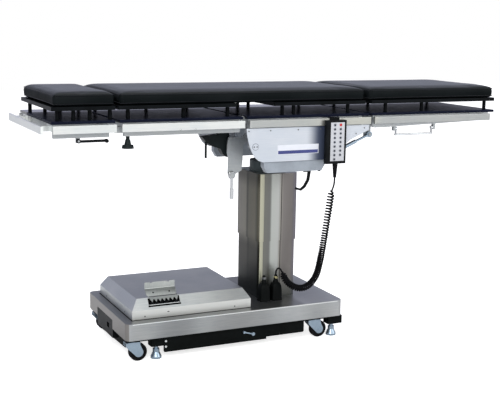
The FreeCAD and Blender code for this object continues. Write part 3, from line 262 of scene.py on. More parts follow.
def column_painted_reflections(graph, base, broad):
    """Painted reflections that stand along the column's sheet metal, painted shade on its side face by
    height, with its seam and fold.
    """
    wobble = graph.maths("MULTIPLY", graph.maths("SUBTRACT", broad, 0.5), BAND_WOBBLE)
    near = graph.maths("LESS_THAN", graph.facing("Y"), -SIDE_FACING)
    side = graph.maths("LESS_THAN", graph.facing("X"), -SIDE_FACING)
    fine = graph.mix(0.2, (1, 1, 1), base, "MULTIPLY")
    for letter, half, painted_reflections, where in (("X", COLUMN_HALF_LENGTH, NEAR_PAINTED_REFLECTIONS, near),
                                       ("Y", COLUMN_HALF_WIDTH, SIDE_PAINTED_REFLECTIONS, side)):
        across = graph.maths("ADD", graph.along(letter, -half, half), wobble)
        base = graph.mix(where, base, graph.mix(1.0, graph.ramp(across, *painted_reflections), fine, "MULTIPLY"))
    base = graph.darker(side, base, graph.ramp(graph.along("Z", *COLUMN_RISE), *SIDE_PAINTED_SHADES))
    for x, shade in ((COLUMN_SEAM, grey(0.02)), (COLUMN_FOLD, grey(0.12))):
        base = graph.mix(graph.maths("MULTIPLY", near, graph.span("X", *x)), base, shade)
    return base


FOOT_REACH, FOOT_COLOUR, FOOT_STRENGTH = (0.15, 0.28), (0.035, 0.045, 0.04), 0.75


def shaded_foot(graph, base):
    """Darker towards the column's foot, where the metal mirrors what is dark beside it."""
    depth = graph.maths("SUBTRACT", 1.0, graph.along("Z", *FOOT_REACH))
    return graph.mix(graph.maths("MULTIPLY", depth, FOOT_STRENGTH), base, FOOT_COLOUR)


def painted(colour, **limits):
    """Mask that paints the inside of a box in metres."""
    def mask(graph, base):
        return graph.mix(graph.within(**limits), base, colour)
    return mask


SPACER_INNER, SPACER_LEVELS = 0.2463, (0.8865, 0.9078)


def black_spacers(graph, base):
    """The spacers between a frame's bars and its rails."""
    outside = graph.maths("GREATER_THAN", graph.maths("ABSOLUTE", graph.axis("Y")), SPACER_INNER)
    return graph.mix(graph.maths("MULTIPLY", outside, graph.span("Z", *SPACER_LEVELS)), base, grey(0.008))


RAIL_REACH = (-1.0, 1.0)
RAIL_PAINTED_REFLECTIONS = [(0.002, grey(1.0)), (0.010, grey(0.86)), (0.385, grey(0.84)), (0.40, grey(0.50)),
               (0.66, (0.54, 0.53, 0.49)), (0.70, grey(0.47)), (1.0, grey(0.45))]


def rails_painted_reflections(graph, base):
    """Painted reflections: bright at the head end, duller from the seat on, and a painted highlight, near
    white, on the end rail.
    """
    return graph.mix(1.0, base, graph.ramp(graph.along("X", *RAIL_REACH), *RAIL_PAINTED_REFLECTIONS), "MULTIPLY")


HOOD_REACH, HOOD_FRONT_FACING = (-0.66, -0.17), 0.4
HOOD_PAINTED_REFLECTIONS = [(0.0, grey(1.0)), (0.45, grey(0.86)), (0.9, grey(0.52))]
HOOD_BAND_PAINTED_HIGHLIGHT, HOOD_TOP_PAINTED_REFLECTION = (0.68, 0.69, 0.67), grey(0.72)


def hood_painted_reflections(graph, base):
    """Painted reflections: front chamfer almost white at its left end and grey at its right; a painted
    highlight on the upright band, and the top painted darker, as a dim reflection.
    """
    front = graph.maths("LESS_THAN", graph.facing("Y"), -HOOD_FRONT_FACING)
    base = graph.darker(front, base, graph.ramp(graph.along("X", *HOOD_REACH), *HOOD_PAINTED_REFLECTIONS))
    upright = graph.maths("LESS_THAN", graph.maths("ABSOLUTE", graph.facing("Z")), UPRIGHT_FACING)
    base = graph.mix(graph.maths("MULTIPLY", upright, front), base, HOOD_BAND_PAINTED_HIGHLIGHT)
    return graph.darker(graph.maths("GREATER_THAN", graph.facing("Z"), TOP_FACING), base, HOOD_TOP_PAINTED_REFLECTION)


BASE_END_FACING, BASE_END_PAINTED_REFLECTION = 0.5, (0.24, 0.23, 0.22)
PATCH_SHADES = [(0.35, grey(0.62)), (0.62, grey(1.0))]
MIRRORED_COLUMN, MIRROR_SHADES = (-0.2, 0.2), [(0.30, grey(0.55)), (0.60, grey(0.55)), (0.68, grey(1.0))]


def base_painted_reflections(graph, base):
    """Broad soft patches along the base, its end painted dull as a dark reflection, and the column's dark
    reflection painted on its top.
    """
    patches = graph.ramp(graph.noise(3.2, 0.5, 0.5, detail=1), *PATCH_SHADES)
    base = graph.mix(1.0, base, patches, "MULTIPLY")
    base = graph.mix(graph.maths("LESS_THAN", graph.facing("X"), -BASE_END_FACING), base, BASE_END_PAINTED_REFLECTION)
    mirrored = graph.ramp(graph.along("X", *MIRRORED_COLUMN), *MIRROR_SHADES)
    return graph.darker(graph.maths("GREATER_THAN", graph.facing("Z"), TOP_FACING), base, mirrored)


HANDSET_SHADE, HANDSET_SHADE_START = (0.05, 0.065, 0.11), (0.035, 0.110)
HANDSET_SHADE_BOX = {"x": (0.0, 0.215), "z": (0.70, 0.885)}


def behind_handset(graph, base):
    """Navy shade that the handset throws on the cover's right part."""
    across = graph.ramp(graph.along("X", *HANDSET_SHADE_START), (0.0, grey(0.0)), (0.8, grey(1.0)))
    return graph.mix(graph.maths("MULTIPLY", across, graph.within(**HANDSET_SHADE_BOX)), base, HANDSET_SHADE)


# Painted shade: the lever recess in the hood, painted near black.
RECESS_PAINTED_SHADE_BOX = {"x": (-0.5925, -0.4635), "y": (-0.2085, -0.1865), "z": (0.2055, 0.2328)}
RED_KEY_BOX = {"x": (0.165, 0.18), "z": (0.878, 0.9)}
LONG_GRAIN, HOOD_GRAIN, FLAP_GRAIN = (12, 900, 900), (14, 700, 700), (900, 40, 40)
UPRIGHT_GRAIN, POLISHED_GRAIN, ZINC_GRAIN = (900, 900, 9), (200, 200, 200), (300, 300, 300)
SCREW_GRAIN = (500, 500, 500)
RED_KEY_COLOUR = (0.48, 0.03, 0.03)

MATERIALS = {
    "shell": brushed("shell_steel", (0.46, 0.465, 0.46), LONG_GRAIN, roughness=0.33, contrast=0.14,
                     masks=[base_painted_reflections]),
    # Hood: painted reflections, and painted shade in the lever recess.
    "hood": brushed("hood_steel", (0.56, 0.57, 0.56), HOOD_GRAIN, roughness=0.36, contrast=0.12,
                    masks=[hood_painted_reflections, painted(grey(0.006), **RECESS_PAINTED_SHADE_BOX)]),
    "upper": brushed("upper_column_steel", (0.50, 0.50, 0.48), UPRIGHT_GRAIN, contrast=0.10,
                     painted_reflections=column_painted_reflections),
    "lower": brushed("lower_column_steel", (0.48, 0.49, 0.47), UPRIGHT_GRAIN, contrast=0.10,
                     painted_reflections=column_painted_reflections, masks=[shaded_foot]),
    "cover": brushed("cover_steel", (0.56, 0.58, 0.62), LONG_GRAIN, roughness=0.42, contrast=0.05,
                     metallic=0.35, masks=[behind_handset]),
    "rail": brushed("rail_steel", (0.95, 0.96, 0.92), LONG_GRAIN, roughness=0.3, contrast=0.05, metallic=0.8,
                    masks=[rails_painted_reflections]),
    "frame": brushed("frame_steel", (0.42, 0.43, 0.43), LONG_GRAIN, roughness=0.36, contrast=0.08,
                     metallic=0.8, masks=[black_spacers]),
    "flap": brushed("flap_steel", (0.44, 0.455, 0.43), FLAP_GRAIN, roughness=0.35, contrast=0.18),
    "bright": brushed("bright_steel", (0.86, 0.87, 0.84), LONG_GRAIN, roughness=0.3, contrast=0.05),
    "zinc": brushed("zinc_plate", (0.34, 0.42, 0.50), ZINC_GRAIN, roughness=0.3, contrast=0.10,
                    metallic=0.85),
    "chrome": brushed("chrome", grey(0.60), POLISHED_GRAIN, roughness=0.14, contrast=0.04, metallic=1.0),
    "brass": brushed("brass", (0.72, 0.64, 0.34), POLISHED_GRAIN, roughness=0.25, contrast=0.10,
                     metallic=1.0),
    "saddle": plastic("saddle_enamel", (0.05, 0.065, 0.07), roughness=0.4, variation=0.3),
    "chassis": plastic("chassis_black", (0.003, 0.004, 0.004), roughness=0.5, gloss=0.05),
    "casting": plastic("casting_black", (0.008, 0.012, 0.013), roughness=0.4, speck=250, depth=0.0003),
    "moulding": plastic("moulding_black", (0.005, 0.006, 0.007), roughness=0.4, gloss=0.08),
    "trough": plastic("trough_grey", (0.27, 0.30, 0.34), roughness=0.38, variation=0.10, gloss=0.3),
    "board": plastic("board_laminate", (0.004, 0.005, 0.006), roughness=0.3, speck=60, depth=0.00003,
                     gloss=0.05),
    "deck": plastic("deck_laminate", (0.008, 0.010, 0.022), roughness=0.3, speck=60, depth=0.00001,
                    gloss=0.02, variation=0.12, coat_from=0.12),
    "cylinder": plastic("cylinder_enamel", (0.28, 0.29, 0.30), roughness=0.35),
    "rubber": plastic("tyre_rubber", (0.005, 0.005, 0.006), roughness=0.6, speck=900, gloss=0.08),
    "cord": plastic("cord_rubber", (0.003, 0.003, 0.004), roughness=0.5, speck=900, gloss=0.08),
    "boot": plastic("boot_rubber", (0.003, 0.004, 0.004), roughness=0.5, speck=900, gloss=0.06),
    "pads": vinyl("pad_vinyl"),
    "welt": plastic("welt_vinyl", (0.006, 0.007, 0.009), roughness=0.4, speck=900, gloss=0.1),
    "face": plastic("handset_face", (0.48, 0.49, 0.52), roughness=0.35, variation=0.04, gloss=0.3),
    "plate": plastic("name_plate", (0.66, 0.68, 0.74), roughness=0.3, variation=0.03, gloss=0.3),
    "band": plastic("name_plate_band", (0.06, 0.07, 0.20), roughness=0.3, variation=0.06),
    "key": plastic("key_grey", (0.03, 0.034, 0.045), roughness=0.3,
                   masks=[painted(RED_KEY_COLOUR, **RED_KEY_BOX)]),
    "screw": brushed("screw_steel", grey(0.16), SCREW_GRAIN, roughness=0.4),
    "dark": plastic("dark_hole", grey(0.003), roughness=0.7, gloss=0.02),
    "ring": plastic("roundel_ring", (0.16, 0.18, 0.23), roughness=0.3),
}

NODE_MATERIALS = {
    "shell": ["base_shell"], "hood": ["pump_hood"], "upper": ["upper_shroud", "column_head"],
    "lower": ["mid_shroud", "lower_shroud"], "cover": ["side_covers"],
    "rail": ["head_rails", "back_rails", "seat_rails", "leg_rails"],
    "frame": ["head_frame", "back_frame", "seat_frame", "leg_frame"], "flap": ["hood_flap"],
    "zinc": ["leg_link_rod", "floor_lock_feet", "caster_fork_left_near", "caster_fork_left_far",
             "caster_fork_right_near", "caster_fork_right_far", "brake_lever"],
    "chrome": ["leg_release_bail", "rotation_lock_lever", "lift_rod"],
    "saddle": ["turntable_yoke", "tilt_cross"],
    "chassis": ["under_chassis", "pump_unit"], "casting": ["back_drive_arms", "head_clamp_knob"],
    "moulding": ["power_inlet", "connector_boots", "head_release_lever", "tilt_lock_lever", "override_levers",
                 "handset_body"],
    "trough": ["side_troughs"], "board": ["head_board", "back_board", "seat_board", "leg_board"],
    "deck": ["head_deck", "back_deck", "seat_deck", "leg_deck"], "cylinder": ["lift_cylinder"],
    "rubber": ["caster_wheel_left_near", "caster_wheel_left_far", "caster_wheel_right_near",
               "caster_wheel_right_far"],
    "pads": ["head_pad", "back_pad", "fold_pad", "seat_pad", "leg_pad"], "key": ["handset_keys"],
    "cord": ["pendant_cord", "handset_strain_relief"],
}

for material_name, node_names in NODE_MATERIALS.items():
    for node_name in node_names:
        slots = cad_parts[node_name].data.materials
        if not slots:
            slots.append(MATERIALS[material_name])
        for index in range(len(slots)):
            slots[index] = MATERIALS[material_name]


# Mesh helpers: sizes in millimetres, objects in metres

def finish_mesh(name, mesh, material, body):
    piece = bpy.data.objects.new(name, mesh)
    bpy.context.collection.objects.link(piece)
    mesh.materials.append(MATERIALS[material])
    for face in mesh.polygons:
        face.use_smooth = True
    mesh.set_sharp_from_angle(angle=SHARP_ANGLE)
    if body:
        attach(piece, body)
    return piece


def from_bmesh(name, shape, material, body):
    bmesh.ops.recalc_face_normals(shape, faces=shape.faces)
    mesh = bpy.data.meshes.new(name)
    shape.to_mesh(mesh)
    shape.free()
    mesh.transform(Matrix.Scale(MM, 4))
    return finish_mesh(name, mesh, material, body)


def add_block(shape, x, y, z, bevel=0.0, segments=3):
    """Block between pairs of places, with round edges, added to a bmesh."""
    made = bmesh.ops.create_cube(shape, size=1)["verts"]
    centre = Vector((sum(x) / 2, sum(y) / 2, sum(z) / 2))
    lengths = Vector((x[1] - x[0], y[1] - y[0], z[1] - z[0]))
    for vertex in made:
        vertex.co = Vector([part * length for part, length in zip(vertex.co, lengths)])
    if bevel:
        edges = list({edge for vertex in made for edge in vertex.link_edges})
        made = bmesh.ops.bevel(shape, geom=edges, offset=bevel, segments=segments, profile=0.5,
                               affect="EDGES")["verts"]
    bmesh.ops.translate(shape, verts=made, vec=centre)


def block(name, x, y, z, material, body, bevel=1.0, segments=3):
    shape = bmesh.new()
    add_block(shape, x, y, z, bevel, segments)
    return from_bmesh(name, shape, material, body)


AXIS_TURNS = {"X": Matrix.Rotation(math.radians(90), 3, "Y"), "Y": Matrix.Rotation(math.radians(-90), 3, "X"),
              "Z": Matrix.Identity(3)}


def add_lathe(shape, profile, centre, axis="Z", steps=32):
    """Turned form: profile is pairs of radius and height along the axis."""
    rings = []
    turn = AXIS_TURNS[axis]
    for radius, height in profile:
        ring = []
        for step in range(steps if radius > 0 else 1):
            angle = 2 * math.pi * step / steps
            spot = Vector((radius * math.cos(angle), radius * math.sin(angle), height))
            ring.append(shape.verts.new(turn @ spot + Vector(centre)))
        rings.append(ring)
    for low, high in zip(rings, rings[1:]):
        for step in range(steps):
            after = (step + 1) % steps
            if len(low) == 1:
                shape.faces.new((low[0], high[step], high[after]))
            elif len(high) == 1:
                shape.faces.new((low[step], high[0], low[after]))
            else:
                shape.faces.new((low[step], high[step], high[after], low[after]))


def lathe(name, profile, centre, material, body, axis="Z", steps=32):
    shape = bmesh.new()
    add_lathe(shape, profile, centre, axis, steps)
    return from_bmesh(name, shape, material, body)


def prism(name, outline, span, material, body, place, bevel=0.0):
    """Outline extruded over a span; place turns a point of the outline and a height into a spot."""
    shape = bmesh.new()
    first = [shape.verts.new(place(u, v, span[0])) for u, v in outline]
    last = [shape.verts.new(place(u, v, span[1])) for u, v in outline]
    faces = [shape.faces.new(first), shape.faces.new(list(reversed(last)))]
    count = len(outline)
    for index in range(count):
        after = (index + 1) % count
        faces.append(shape.faces.new((first[after], first[index], last[index], last[after])))
    if bevel:
        edges = list({edge for face in faces[:2] for edge in face.edges})
        bmesh.ops.bevel(shape, geom=edges, offset=bevel, segments=2, profile=0.5, affect="EDGES")
    return from_bmesh(name, shape, material, body)


def arc(centre, radius, start, end, steps):
    """Points of an arc, angles in degrees."""
    return [(centre[0] + radius * math.cos(math.radians(start + (end - start) * step / steps)),
             centre[1] + radius * math.sin(math.radians(start + (end - start) * step / steps)))
            for step in range(steps + 1)]


def circle(centre, radius, count):
    """So many points round a centre."""
    return arc(centre, radius, 0, 360 - 360 / count, count - 1)


def round_rectangle(x, y, corner, steps):
    """Outline between pairs of places, with an arc of so many steps at each corner."""
    points = []
    for centre, start in (((x[1] - corner, y[1] - corner), 0), ((x[0] + corner, y[1] - corner), 90),
                          ((x[0] + corner, y[0] + corner), 180), ((x[1] - corner, y[0] + corner), 270)):
        points += arc(centre, corner, start, start + 90, steps)
    return points


def new_curve(name, kind, points):
    """Curve with one spline over points in metres."""
    curve = bpy.data.curves.new(name, "CURVE")
    curve.dimensions = "3D"
    spline = curve.splines.new(kind)
    spline.points.add(len(points) - 1)
    for point, spot in zip(spline.points, points):
        point.co = (*spot, 1)
    return curve, spline


def curve_mesh(curve):
    """Mesh that a curve evaluates to."""
    holder = bpy.data.objects.new(curve.name, curve)
    bpy.context.collection.objects.link(holder)
    bpy.context.view_layer.update()
    graph = bpy.context.evaluated_depsgraph_get()
    mesh = bpy.data.meshes.new_from_object(holder.evaluated_get(graph))
    bpy.data.objects.remove(holder)
    return mesh


def tube_along(name, points, radius, material, sides):
    """Mesh tube along points; lengths in metres."""
    curve, _ = new_curve(name + "_path", "POLY", points)
    curve.bevel_depth = radius
    curve.bevel_resolution = max(1, sides // 4)
    curve.use_fill_caps = True
    mesh = curve_mesh(curve)
    mesh.materials.clear()
    mesh.name = name
    return finish_mesh(name, mesh, material, None)


def apply_modifier(piece, modifier):
    bpy.context.view_layer.objects.active = piece
    piece.select_set(True)
    bpy.ops.object.modifier_apply(modifier=modifier.name)


def joined(name, pieces, body):
    """One object from several, keeping their materials."""
    bpy.ops.object.select_all(action="DESELECT")
    for piece in pieces:
        piece.select_set(True)
    bpy.context.view_layer.objects.active = pieces[0]
    bpy.ops.object.join()
    whole = bpy.context.view_layer.objects.active
    whole.name = name
    if body:
        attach(whole, body)
    return whole


# Camera, floor and light

CAMERA_PLACE = Vector((-1.8125, -3.6955, 1.2853))
CAMERA_YAW, CAMERA_PITCH, CAMERA_ROLL = 0.439, 0.178, 0.016
FOCAL_PIXELS, FRAME_PIXELS, SENSOR_MM = 997.24, 500, 36


def make_camera():
    level = math.cos(CAMERA_PITCH)
    forward = Vector((math.sin(CAMERA_YAW) * level, math.cos(CAMERA_YAW) * level, -math.sin(CAMERA_PITCH)))
    right = forward.cross(Vector((0, 0, 1))).normalized()
    up = right.cross(forward)
    rolled_right = math.cos(CAMERA_ROLL) * right + math.sin(CAMERA_ROLL) * up
    rolled_up = -math.sin(CAMERA_ROLL) * right + math.cos(CAMERA_ROLL) * up
    data = bpy.data.cameras.new("camera")
    data.sensor_width = SENSOR_MM
    data.lens = FOCAL_PIXELS / FRAME_PIXELS * SENSOR_MM
    data.clip_end = 60
    camera = bpy.data.objects.new("camera", data)
    bpy.context.collection.objects.link(camera)
    turn = Matrix((rolled_right, rolled_up, -forward)).transposed()
    camera.matrix_world = Matrix.Translation(CAMERA_PLACE) @ turn.to_4x4()
    bpy.context.scene.camera = camera


FLOOR_REACH, FLOOR_WHITE, FLOOR_GLOW = 14, 0.80, 0.75


def make_floor():
    """White floor that glows a little for the camera only."""
    mesh = bpy.data.meshes.new("floor")
    corners = [(x * FLOOR_REACH, y * FLOOR_REACH, 0) for x, y in ((-1, -1), (1, -1), (1, 1), (-1, 1))]
    mesh.from_pydata(corners, [], [(0, 1, 2, 3)])
    floor = bpy.data.objects.new("floor", mesh)
    bpy.context.collection.objects.link(floor)
    graph = Graph("floor_white")
    graph.set(Base_Color=grey(FLOOR_WHITE), Roughness=0.9, Emission_Color=grey(1.0))
    seen = graph.make("ShaderNodeLightPath").outputs["Is Camera Ray"]
    graph.set(Emission_Strength=graph.maths("MULTIPLY", seen, FLOOR_GLOW))
    graph.shader.inputs["Specular IOR Level"].default_value = 0.05
    mesh.materials.append(graph.material)


WORLD_NEAR, WORLD_FAR = (-0.9, (1.0, 1.0, 0.97, 1)), (0.95, (0.42, 0.43, 0.54, 1))


def make_world():
    """White to the camera; for reflections bright on the viewer's side and dim lavender behind."""
    world = bpy.data.worlds.new("studio")
    bpy.context.scene.world = world
    world.use_nodes = True
    nodes, links = world.node_tree.nodes, world.node_tree.links
    background = nodes["Background"]
    direction = nodes.new("ShaderNodeTexCoord").outputs["Generated"]
    split = nodes.new("ShaderNodeSeparateXYZ")
    links.new(direction, split.inputs[0])
    depth = nodes.new("ShaderNodeMapRange")
    links.new(split.outputs["Y"], depth.inputs["Value"])
    depth.inputs["From Min"].default_value = WORLD_NEAR[0]
    depth.inputs["From Max"].default_value = WORLD_FAR[0]
    ramp = nodes.new("ShaderNodeValToRGB")
    links.new(depth.outputs["Result"], ramp.inputs["Fac"])
    ramp.color_ramp.elements[0].color = WORLD_NEAR[1]
    ramp.color_ramp.elements[1].color = WORLD_FAR[1]
    seen = nodes.new("ShaderNodeLightPath").outputs["Is Camera Ray"]
    choose = nodes.new("ShaderNodeMix")
    choose.data_type = "RGBA"
    links.new(seen, choose.inputs[0])
    links.new(ramp.outputs["Color"], choose.inputs[6])
    choose.inputs[7].default_value = (1, 1, 1, 1)
    links.new(choose.outputs[2], background.inputs["Color"])
    background.inputs["Strength"].default_value = 1.0


LIGHTS = [("key", (-2.6, -4.2, 3.6), (-0.2, 0, 0.5), (2.6, 2.0), 120, (1, 1, 1)),
          ("fill", (3.2, -3.6, 2.2), (0, 0, 0.6), (2.4, 2.0), 45, (0.96, 0.98, 1)),
          ("top", (0, 0.6, 4.2), (0, 0, 0.9), (3.2, 1.6), 60, (1, 1, 1))]


def add_area(name, place, target, size, power, colour):
    data = bpy.data.lights.new(name, "AREA")
    data.shape = "RECTANGLE"
    data.size, data.size_y = size
    data.energy = power
    data.color = colour
    lamp = bpy.data.objects.new(name, data)
    bpy.context.collection.objects.link(lamp)
    lamp.location = place
    lamp.rotation_mode = "QUATERNION"
    lamp.rotation_quaternion = (Vector(target) - Vector(place)).to_track_quat("-Z", "Y")


make_camera()
make_floor()
make_world()
for light in LIGHTS:
    add_area(*light)
bpy.context.scene.view_settings.view_transform = "Standard"


# Handset cord: thin tail, curled stretch and thin top, in metres as the CAD route

CORD_TAIL = [(-0.021, -0.141, 0.262), (-0.021, -0.141, 0.276), (-0.016, -0.147, 0.288),
             (-0.009, -0.156, 0.288), (-0.0035, -0.164, 0.273)]
CORD_CURL = [(0.0, -0.1685, 0.262), (0.007, -0.1775, 0.240), (0.021, -0.190, 0.225), (0.046, -0.204, 0.211),
             (0.073, -0.221, 0.215), (0.095, -0.236, 0.238), (0.111, -0.249, 0.274), (0.119, -0.256, 0.325),
             (0.1265, -0.262, 0.385), (0.1335, -0.268, 0.455), (0.140, -0.2735, 0.522),
             (0.1455, -0.2785, 0.580), (0.149, -0.2815, 0.620)]
CORD_TOP = [(0.1556, -0.2857, 0.640), (0.158, -0.2874, 0.658), (0.158, -0.2874, 0.677)]
CORD_RADIUS, CORD_SIDES = 0.0035, 12
CURL_RADIUS, CURL_FROM_ENDS = 0.0112, 0.052
EASE_IN, EASE_OUT = 0.016, 0.020
UNEVENNESS, UNEVEN_SCALE = 0.05, 40
STEPS_PER_TURN, STRAIGHT_STEP = 14, 0.003
TURN_SPACING = [(0.0, 0.0095), (0.10, 0.0078), (0.45, 0.0078), (0.60, 0.0095), (0.78, 0.0118), (1.0, 0.0122)]


def smooth_route(points):
    """Points along the NURBS spline that has the route's points as its control points."""
    curve, spline = new_curve("route", "NURBS", points)
    curve.resolution_u = 24
    spline.order_u = 3
    spline.use_endpoint_u = True
    return [vertex.co.copy() for vertex in curve_mesh(curve).vertices]


def at_lengths(spots):
    lengths = [0.0]
    for before, after in zip(spots, spots[1:]):
        lengths.append(lengths[-1] + (after - before).length)
    return lengths


def spot_at(spots, lengths, reach):
    """Place and direction at a length along a polyline."""
    for index in range(1, len(lengths)):
        if reach <= lengths[index] or index == len(lengths) - 1:
            share = (reach - lengths[index - 1]) / max(1e-9, lengths[index] - lengths[index - 1])
            along = spots[index] - spots[index - 1]
            return spots[index - 1] + along * share, along.normalized()


def between(stops, share):
    """Value at a share, from pairs of share and value."""
    for (low, first), (high, second) in zip(stops, stops[1:]):
        if share <= high:
            return first + (second - first) * (share - low) / (high - low)
    return stops[-1][1]


def make_cord():
    spots = smooth_route(CORD_TAIL + CORD_CURL + CORD_TOP)
    lengths = at_lengths(spots)
    total = lengths[-1]
    curl_start, curl_end = CURL_FROM_ENDS, total - CURL_FROM_ENDS
    path = []
    reach, angle = 0.0, 0.0
    _, direction = spot_at(spots, lengths, 0.0)
    side = direction.orthogonal().normalized()
    while reach < total:
        place, direction = spot_at(spots, lengths, reach)
        side = (side - direction * side.dot(direction)).normalized()
        other = direction.cross(side)
        share = min(1.0, max(0.0, (reach - curl_start) / (curl_end - curl_start)))
        inside = curl_start < reach < curl_end
        radius = 0.0
        if inside:
            ease = min(1.0, (reach - curl_start) / EASE_IN, (curl_end - reach) / EASE_OUT)
            swell = 1 + UNEVENNESS * noise.noise(Vector((reach * UNEVEN_SCALE, 3.1, 0.4)))
            radius = CURL_RADIUS * ease * swell
        path.append(place + side * (radius * math.cos(angle)) + other * (radius * math.sin(angle)))
        if inside:
            angle += 2 * math.pi / STEPS_PER_TURN
            reach += between(TURN_SPACING, share) / STEPS_PER_TURN
        else:
            reach += STRAIGHT_STEP
    path.append(spots[-1])
    cord = tube_along("curly_cord", path, CORD_RADIUS, "cord", CORD_SIDES)
    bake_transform(cord)
    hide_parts("pendant_cord")


make_cord()


# Upholstery

PAD_HALF, PAD_LOW, PAD_HIGH = 252.5, 976.0, 1024.0
PAD_SPANS = {"head_cushion": (-965.0, -725.4), "middle_cushion": (-724.6, 321.6),
             "leg_cushion": (322.4, 965.0)}
PAD_INSET, PAD_ROUND, VOXEL = 5.0, 11, 0.008
PRESSURE, QUALITY, FRAMES, MOST_MOVE = 4, 4, 20, 0.006
CROWN, UNDERSIDE_LIFT = 0.0055, 0.0004
WELT_RADIUS, WELT_SINK, WELT_CORNER, WELT_STEP = 0.0019, 0.0006, 14.0, 14
WELTS = [(PAD_HIGH - 4.5, 5.0), (PAD_LOW + 5.0, 3.5)]
CUSHION_RIDES = {"head_cushion": "head", "leg_cushion": "leg"}


def cushion_mesh(name, x):
    """Slab with round edges, remeshed in small squares."""
    shape = bmesh.new()
    add_block(shape, (x[0] + PAD_INSET, x[1] - PAD_INSET), (-PAD_HALF + PAD_INSET, PAD_HALF - PAD_INSET),
              (PAD_LOW + 1.0, PAD_HIGH - PAD_INSET), bevel=PAD_ROUND, segments=4)
    pad = from_bmesh(name, shape, "pads", None)
    remesh = pad.modifiers.new("remesh", "REMESH")
    remesh.mode = "VOXEL"
    remesh.voxel_size = VOXEL
    apply_modifier(pad, remesh)
    return pad


def blow_up(pad):
    """Pressure in a cloth skin without gravity."""
    cloth = pad.modifiers.new("cloth", "CLOTH")
    cloth.settings.quality = QUALITY
    cloth.settings.use_pressure = True
    cloth.settings.uniform_pressure_force = PRESSURE
    cloth.settings.effector_weights.gravity = 0
    cloth.collision_settings.use_collision = False
    cloth.point_cache.frame_end = FRAMES
    scene = bpy.context.scene
    for number in range(1, FRAMES + 1):
        scene.frame_set(number)
    apply_modifier(pad, cloth)
    scene.frame_set(1)


def inflate(pad):
    """Plump pad; no point moves further than a limit or out of the pad's space, and the top is crowned."""
    before = [vertex.co.copy() for vertex in pad.data.vertices]
    blow_up(pad)
    low, high = PAD_LOW * MM, PAD_HIGH * MM
    for vertex, start in zip(pad.data.vertices, before):
        move = vertex.co - start
        if move.length > MOST_MOVE:
            move *= MOST_MOVE / move.length
        spot = start + move
        across = abs(spot.y) / (PAD_HALF * MM)
        if spot.z > 0.5 * (low + high):
            spot.z += CROWN * (1 - across ** 4)
        spot.z = min(max(spot.z, low + UNDERSIDE_LIFT), high + CROWN)
        vertex.co = spot
    for face in pad.data.polygons:
        face.use_smooth = True
    return pad


def welt_path(pad, x, height, inset):
    """A loop round the pad near an edge, laid on the skin."""
    tree = BVHTree.FromObject(pad, bpy.context.evaluated_depsgraph_get())
    half = PAD_HALF - inset
    loop = round_rectangle((x[0] + inset, x[1] - inset), (-half, half), WELT_CORNER, 6)
    spots = []
    for index, first in enumerate(loop):
        second = loop[(index + 1) % len(loop)]
        count = max(1, int(math.dist(first, second) / WELT_STEP))
        for step in range(count):
            u, v = (near + (far - near) * step / count for near, far in zip(first, second))
            place, normal, _, _ = tree.find_nearest(Vector((u * MM, v * MM, height * MM)))
            spots.append(place + normal * WELT_SINK)
    spots.append(spots[0])
    return spots


def make_cushions():
    made = {}
    for name, x in PAD_SPANS.items():
        pad = inflate(cushion_mesh(name, x))
        welts = [tube_along(f"{name}_welt_{index}", welt_path(pad, x, *edge), WELT_RADIUS, "welt", sides=8)
                 for index, edge in enumerate(WELTS)]
        soft = pad.modifiers.new("soft", "SUBSURF")
        soft.levels = soft.render_levels = 1
        apply_modifier(pad, soft)
        pad = joined(name, [pad] + welts, None)
        made[name] = pad
    for name, body in CUSHION_RIDES.items():
        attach(made[name], body)
    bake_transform(made["middle_cushion"])
    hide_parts("head_pad")
    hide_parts("back_pad", "fold_pad", "seat_pad")
    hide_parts("leg_pad")


make_cushions()


# Pump hood: comb over the levers, recess rim, a gasket, a painted shadow round the hood's foot, screws and
# the two-leaf flap

COMB_ENDS, COMB_TEETH, COMB_SPAN = (-586.0, -470.0), 7, (0.0, 1.2)
COMB_TOOTH = [(0.10, 8.0), (0.5, 21.5), (0.90, 8.0)]
COMB_TOP = Vector((0, -187.4, 232.4))
COMB_SLOPE, COMB_OUT = Vector((0, -0.74, -0.67)), Vector((0, -0.67, 0.74))
RIM_BAR = ((-588, -468), (-203.6, -200.8), (206.2, 209.0))
RIM_SIDES, RIM_HALF = (-590.3, -467.7), 1.4
HOOD_FRONT, CHAMFER_FOOT, CHAMFER = -211, 193, (26.0, 40.0)
GASKET = [(-594, 9.5), (-461, 9.5), (-461, 15.2), (-594, 15.2)]
HOOD_SCREW = [(0, -1.6), (2.2, -1.5), (3.0, -0.6), (3.0, 0.2)]
HOOD_FOOT_SHADOW_STRIPS = [((-665, -163.5), (-214.0, -211.0)), ((-665, -662.0), (-214.0, 214.0)),
               ((-166.2, -163.5), (-214.0, 214.0)), ((-665, -163.5), (211.0, 214.0))]


